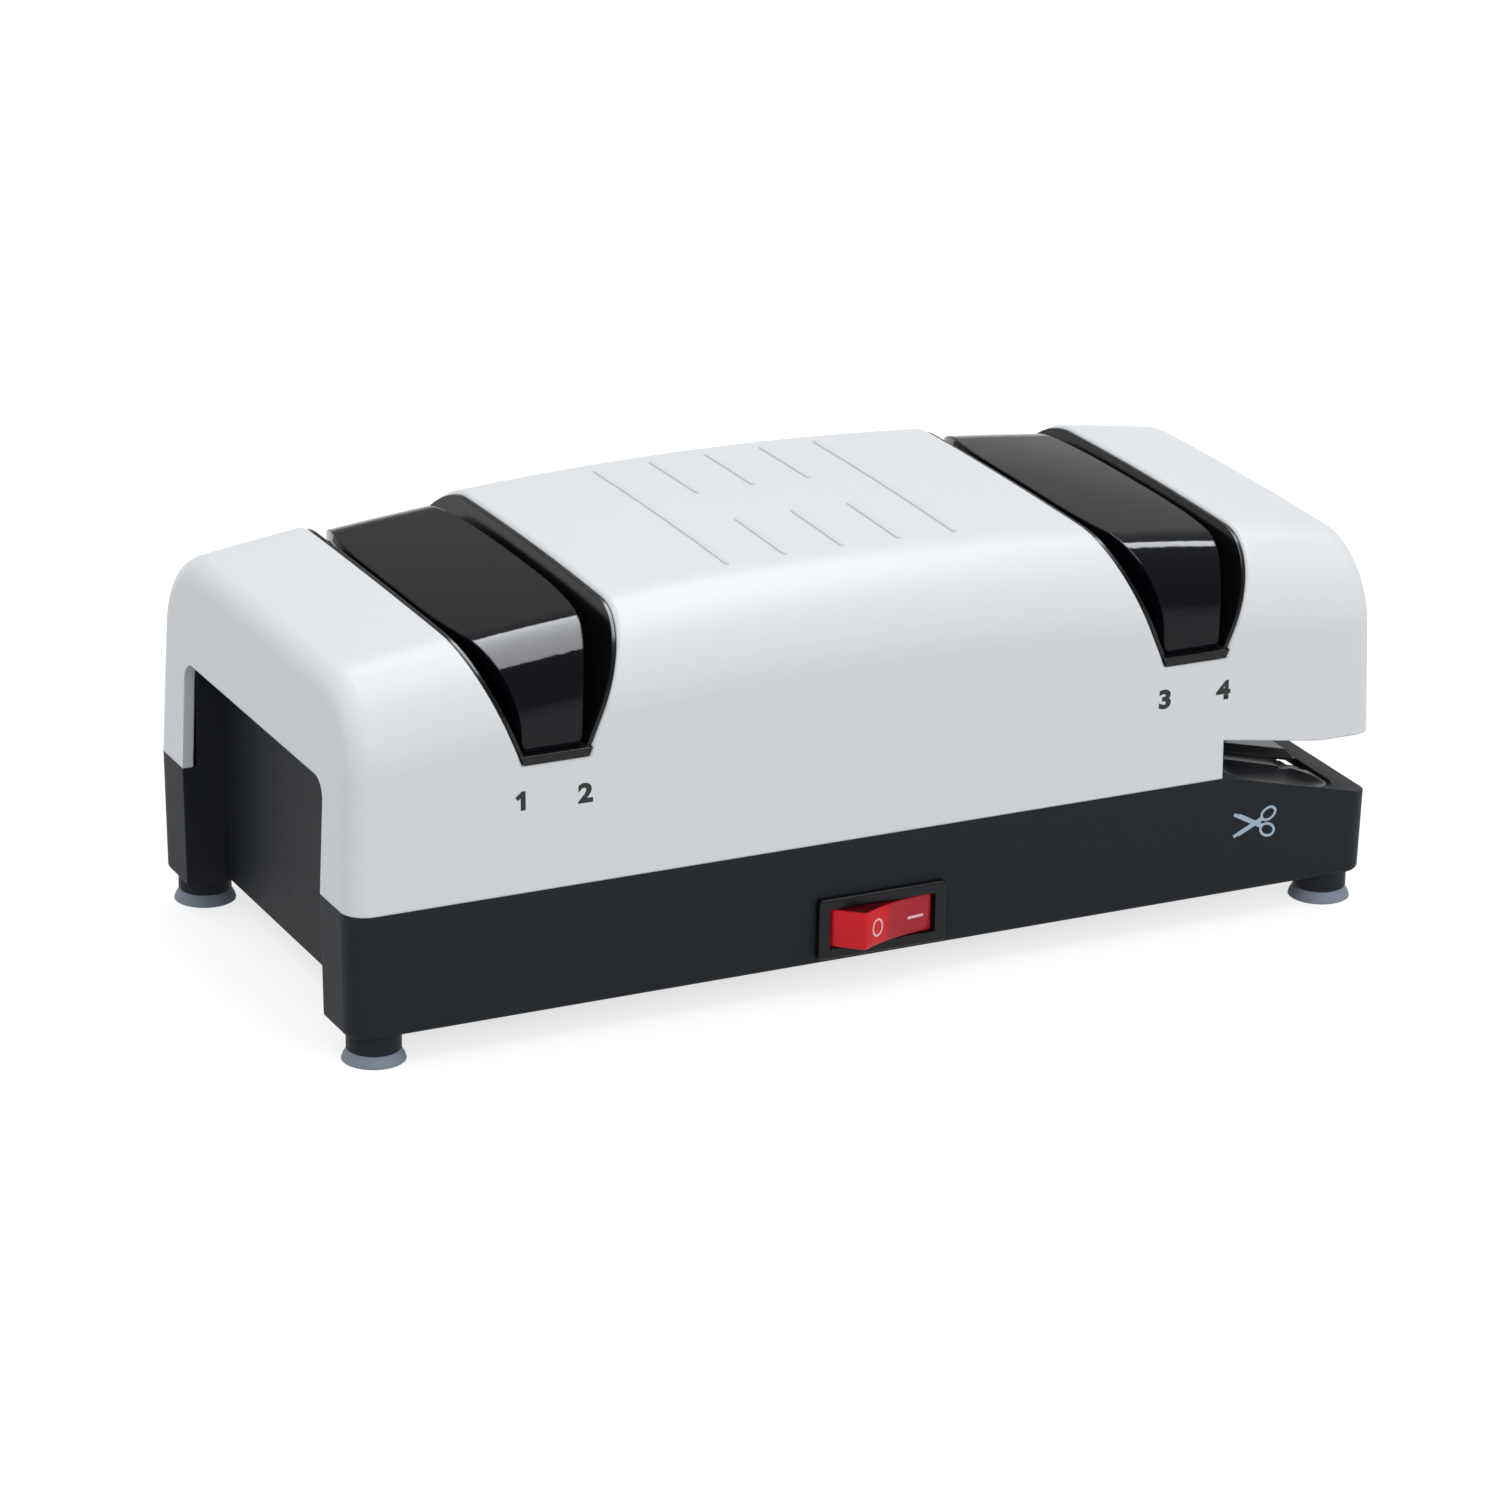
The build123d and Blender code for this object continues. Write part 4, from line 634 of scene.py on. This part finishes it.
def makeRocker():  # clear lens with a slanted raised end and a hollowed face
    lens = {
        "face": [
            (-12.3, -57.4), (-6.2, -62.5), (-3.2, -60.95), (0.0, -59.7), (3.6, -58.65), (7.6, -57.9),
            (12.3, -57.35),
        ],
        "back": -54.5,
        "low": 11.2,
        "tall": 8.8,
        "edge": 0.4,
        "edgeSteps": 3,
        "edgeAngle": 28,
        "smoothAngle": 32,
    }
    same = 0.01  # vertices of the starting grid are further apart than this
    columns = len(lens["face"]) - 1
    deselectAll()
    bpy.ops.mesh.primitive_grid_add(x_subdivisions=columns, y_subdivisions=1, size=2, location=(0, 0, 0))
    piece = bpy.context.object
    piece.name = "rocker_lens"
    for column, (x, y) in enumerate(lens["face"]):
        for side, depth in ((-1, y), (1, lens["back"])):
            start = Vector((-1 + 2 * column / columns, side, 0))
            editWhere(piece, lambda spot: (spot - start).length < same)
            bpy.ops.transform.translate(value=Vector((x, depth, lens["low"])) * mm - start)
            leaveEdit()
    editAll()
    bpy.ops.mesh.extrude_region_move(TRANSFORM_OT_translate={"value": (0, 0, lens["tall"] * mm)})
    bpy.ops.mesh.select_all(action="SELECT")
    bpy.ops.mesh.normals_make_consistent(inside=False)
    leaveEdit()
    bpy.ops.object.modifier_add(type="BEVEL")
    soften = piece.modifiers[-1]
    soften.width, soften.segments = lens["edge"] * mm, lens["edgeSteps"]
    soften.limit_method, soften.angle_limit = "ANGLE", math.radians(lens["edgeAngle"])
    applyModifiers(piece)
    bpy.ops.object.shade_smooth_by_angle(angle=math.radians(lens["smoothAngle"]))
    wear(piece, "redLensPaintedGlow")
    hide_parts("rocker")
    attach(piece, "rocker")
    return piece


rockerLens = makeRocker()
print("rocker lens made")


def makeRockerMarks():  # a ring at one end and a bar at the other
    marks = {"ring": (-2.5, 15.4, 3.2, 4.2, 0.42), "bar": (8.2, 15.2, 4.1, 0.6), "cuts": 8}
    ring = addRing(*marks["ring"], film["start"])
    ring.name = "rocker_ring"
    bar = addSheet(*marks["bar"], film["start"], marks["cuts"])
    bar.name = "rocker_bar"
    for mark in (ring, bar):
        finishMark(layFilm(mark, rockerLens), "inkWhite", "rocker")


makeRockerMarks()
print("rocker marks laid")


def windCoil(name, spring, reach):  # one turn about X, closed at both ends
    deselectAll()
    bpy.ops.mesh.primitive_circle_add(
        vertices=spring["sides"],
        radius=spring["wire"] * mm,
        location=(0, 0, spring["coil"] * mm),
        rotation=(math.pi / 2, 0, 0),
    )
    coil = bpy.context.object
    coil.name = name
    applyPlace(coil)
    bpy.context.scene.cursor.location = (0, 0, 0)
    bpy.ops.object.origin_set(type="ORIGIN_CURSOR")
    bpy.ops.object.modifier_add(type="SCREW")
    wind = coil.modifiers[-1]
    wind.axis = "X"
    wind.angle = 2 * math.pi
    wind.screw_offset = reach
    wind.steps = wind.render_steps = spring["steps"]
    applyModifiers(coil)
    editAll()
    bpy.ops.mesh.fill_holes(sides=0)
    bpy.ops.mesh.select_all(action="SELECT")
    bpy.ops.mesh.normals_make_consistent(inside=False)
    leaveEdit()
    return coil


def makeDiscSprings():  # one coil each side of a stage's middle, in place of the stage's hidden single spring
    spring = {
        "coil": 6.3,
        "wire": 0.35,
        "give": 1.1,
        "axisHeight": 42.0,
        "steps": 64,
        "sides": 10,
        "smoothAngle": 40,
    }
    for stage in ("coarse", "fine"):
        lowest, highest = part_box(f"{stage}_disc_spring")
        middle = (lowest[0] + highest[0]) / 2
        half = (highest[0] - lowest[0]) / 2
        reach = half - spring["wire"] * mm
        for side, start in (("left", middle - reach), ("right", middle)):
            coil = windCoil(f"{stage}_spring_{side}", spring, reach)
            coil.location = (start, 0, spring["axisHeight"] * mm)
            applyPlace(coil)
            bpy.ops.object.shade_smooth_by_angle(angle=math.radians(spring["smoothAngle"]))
            wear(coil, "groundSteel")
            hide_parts(f"{stage}_disc_spring")
            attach(coil, "rotor")
            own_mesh(coil)


makeDiscSprings()
print("disc springs made")


# floor, light and camera
def whiteForViewer(tree, shaded, white, outputNode):
    rays = tree.nodes.new("ShaderNodeLightPath")
    mirrored = addMath(tree, "ADD", rays.outputs["Is Glossy Ray"], rays.outputs["Is Transmission Ray"], True)
    seen = addMath(tree, "ADD", rays.outputs["Is Camera Ray"], mirrored, True)
    mix = tree.nodes.new("ShaderNodeMixShader")
    tree.links.new(seen, mix.inputs[0])
    tree.links.new(shaded, mix.inputs[1])
    tree.links.new(white, mix.inputs[2])
    tree.links.new(mix.outputs[0], outputNode.inputs["Surface"])
    return rays


def makeFloor():
    floorLook = {"size": 12.0, "diffuse": 0.46, "glow": 0.72}
    deselectAll()
    bpy.ops.mesh.primitive_plane_add(size=floorLook["size"], location=(0, 0, 0))
    floor = bpy.context.object
    floor.name = "studio_floor"
    material = newMaterial("paleFloor")
    tree = material.node_tree
    shader = tree.nodes["Principled BSDF"]
    shader.inputs["Base Color"].default_value = (floorLook["diffuse"],) * 3 + (1,)
    shader.inputs["Roughness"].default_value = 1.0
    shader.inputs["Specular IOR Level"].default_value = 0.0
    glow = tree.nodes.new("ShaderNodeEmission")
    glow.inputs["Strength"].default_value = floorLook["glow"]
    both = tree.nodes.new("ShaderNodeAddShader")
    tree.links.new(shader.outputs[0], both.inputs[0])
    tree.links.new(glow.outputs[0], both.inputs[1])
    whiteForViewer(tree, shader.outputs[0], both.outputs[0], tree.nodes["Material Output"])
    floor.data.materials.append(material)


def makeWorld():  # white all round low down, dimmer overhead in what gloss mirrors
    worldLook = {
        "ambient": 0.86,
        "tint": (0.955, 0.98, 1.0, 1),
        "wallTop": (0.05, 0.25),
        "wall": 1.0,
        "overhead": 0.38,
    }
    world = bpy.data.worlds.new("studioWorld")
    bpy.context.scene.world = world
    world.use_nodes = True
    tree = world.node_tree
    ambient = tree.nodes["Background"]
    ambient.inputs["Color"].default_value = worldLook["tint"]
    ambient.inputs["Strength"].default_value = worldLook["ambient"]
    seen = tree.nodes.new("ShaderNodeBackground")
    seen.inputs["Color"].default_value = (1, 1, 1, 1)
    place = tree.nodes.new("ShaderNodeTexCoord")
    split = tree.nodes.new("ShaderNodeSeparateXYZ")
    tree.links.new(place.outputs["Generated"], split.inputs[0])
    fade = tree.nodes.new("ShaderNodeMapRange")
    fade.interpolation_type = "SMOOTHSTEP"
    fade.inputs["From Min"].default_value, fade.inputs["From Max"].default_value = worldLook["wallTop"]
    fade.inputs["To Min"].default_value = worldLook["wall"]
    fade.inputs["To Max"].default_value = worldLook["overhead"]
    tree.links.new(split.outputs["Z"], fade.inputs["Value"])
    rays = whiteForViewer(tree, ambient.outputs[0], seen.outputs[0], tree.nodes["World Output"])
    strength = addMath(tree, "MAXIMUM", fade.outputs[0], rays.outputs["Is Camera Ray"])
    tree.links.new(strength, seen.inputs["Strength"])


lampTint = (0.95, 0.975, 1.0)

# places and sizes in metres, power in watts; a softbox that lights nothing is only mirrored in gloss
lamps = {
    "top_panel": {
        "place": (-0.1, 0.25, 1.5), "target": (0, 0, 0.05), "size": (1.6, 1.2), "power": 2.5,
        "glints": False,
    },
    "front_panel": {
        "place": (0.4, -1.6, 0.9), "target": (0, 0, 0.05), "size": (0.9, 0.35), "power": 5.0,
        "glints": False,
    },
    "shoulder_softbox": {
        "place": (0.415, 0.375, 1.45), "target": (0.415, 0.375, 0), "size": (0.73, 1.65), "power": 54.0,
        "lights": False,
    },
    "nose_strip": {
        "place": (1.08, 0.72, 1.45), "target": (1.08, 0.72, 0), "size": (0.6, 0.36), "power": 10.0,
        "lights": False,
    },
}


def addPanel(name, place, target, size, power, glints=True, lights=True):
    deselectAll()
    bpy.ops.object.light_add(type="AREA", location=place)
    lamp = bpy.context.object
    lamp.name = name
    lamp.data.shape = "RECTANGLE"
    lamp.data.size, lamp.data.size_y = size
    lamp.data.energy = power
    lamp.data.color = lampTint
    lamp.visible_glossy, lamp.visible_diffuse = glints, lights
    lamp.rotation_euler = (Vector(target) - Vector(place)).to_track_quat("-Z", "Y").to_euler()


def makeCamera():
    shot = {
        "yaw": 26.31093,
        "pitch": 20.82037,
        "roll": 1.11065,
        "aimX": -4.38016,
        "aimZ": 35.79671,
        "far": 1398.25,
        "focal": 6219.76,  # in pixels of a frame that is 1500 wide
        "frame": 1500,
        "sensor": 36,
        "clipEnd": 50,
    }
    yaw, pitch, roll = (math.radians(shot[k]) for k in ("yaw", "pitch", "roll"))
    ahead = Vector((math.sin(yaw) * math.cos(pitch), math.cos(yaw) * math.cos(pitch), -math.sin(pitch)))
    level = Vector((math.cos(yaw), -math.sin(yaw), 0))
    upright = level.cross(ahead)
    right = level * math.cos(roll) + upright * math.sin(roll)
    up = upright * math.cos(roll) - level * math.sin(roll)
    spot = (Vector((shot["aimX"], 0, shot["aimZ"])) - ahead * shot["far"]) * mm
    deselectAll()
    bpy.ops.object.camera_add(location=spot)
    camera = bpy.context.object
    camera.name = "studio_camera"
    turn = Matrix((right, up, -ahead)).transposed()
    camera.matrix_world = Matrix.Translation(spot) @ turn.to_4x4()
    camera.data.sensor_width = shot["sensor"]
    camera.data.lens = shot["focal"] / shot["frame"] * shot["sensor"]
    camera.data.clip_end = shot["clipEnd"]
    bpy.context.scene.camera = camera


makeFloor()
makeWorld()
for lampName, lampRow in lamps.items():
    addPanel(lampName, **lampRow)
makeCamera()
bpy.context.scene.view_settings.view_transform = "Standard"
print("stage ready")
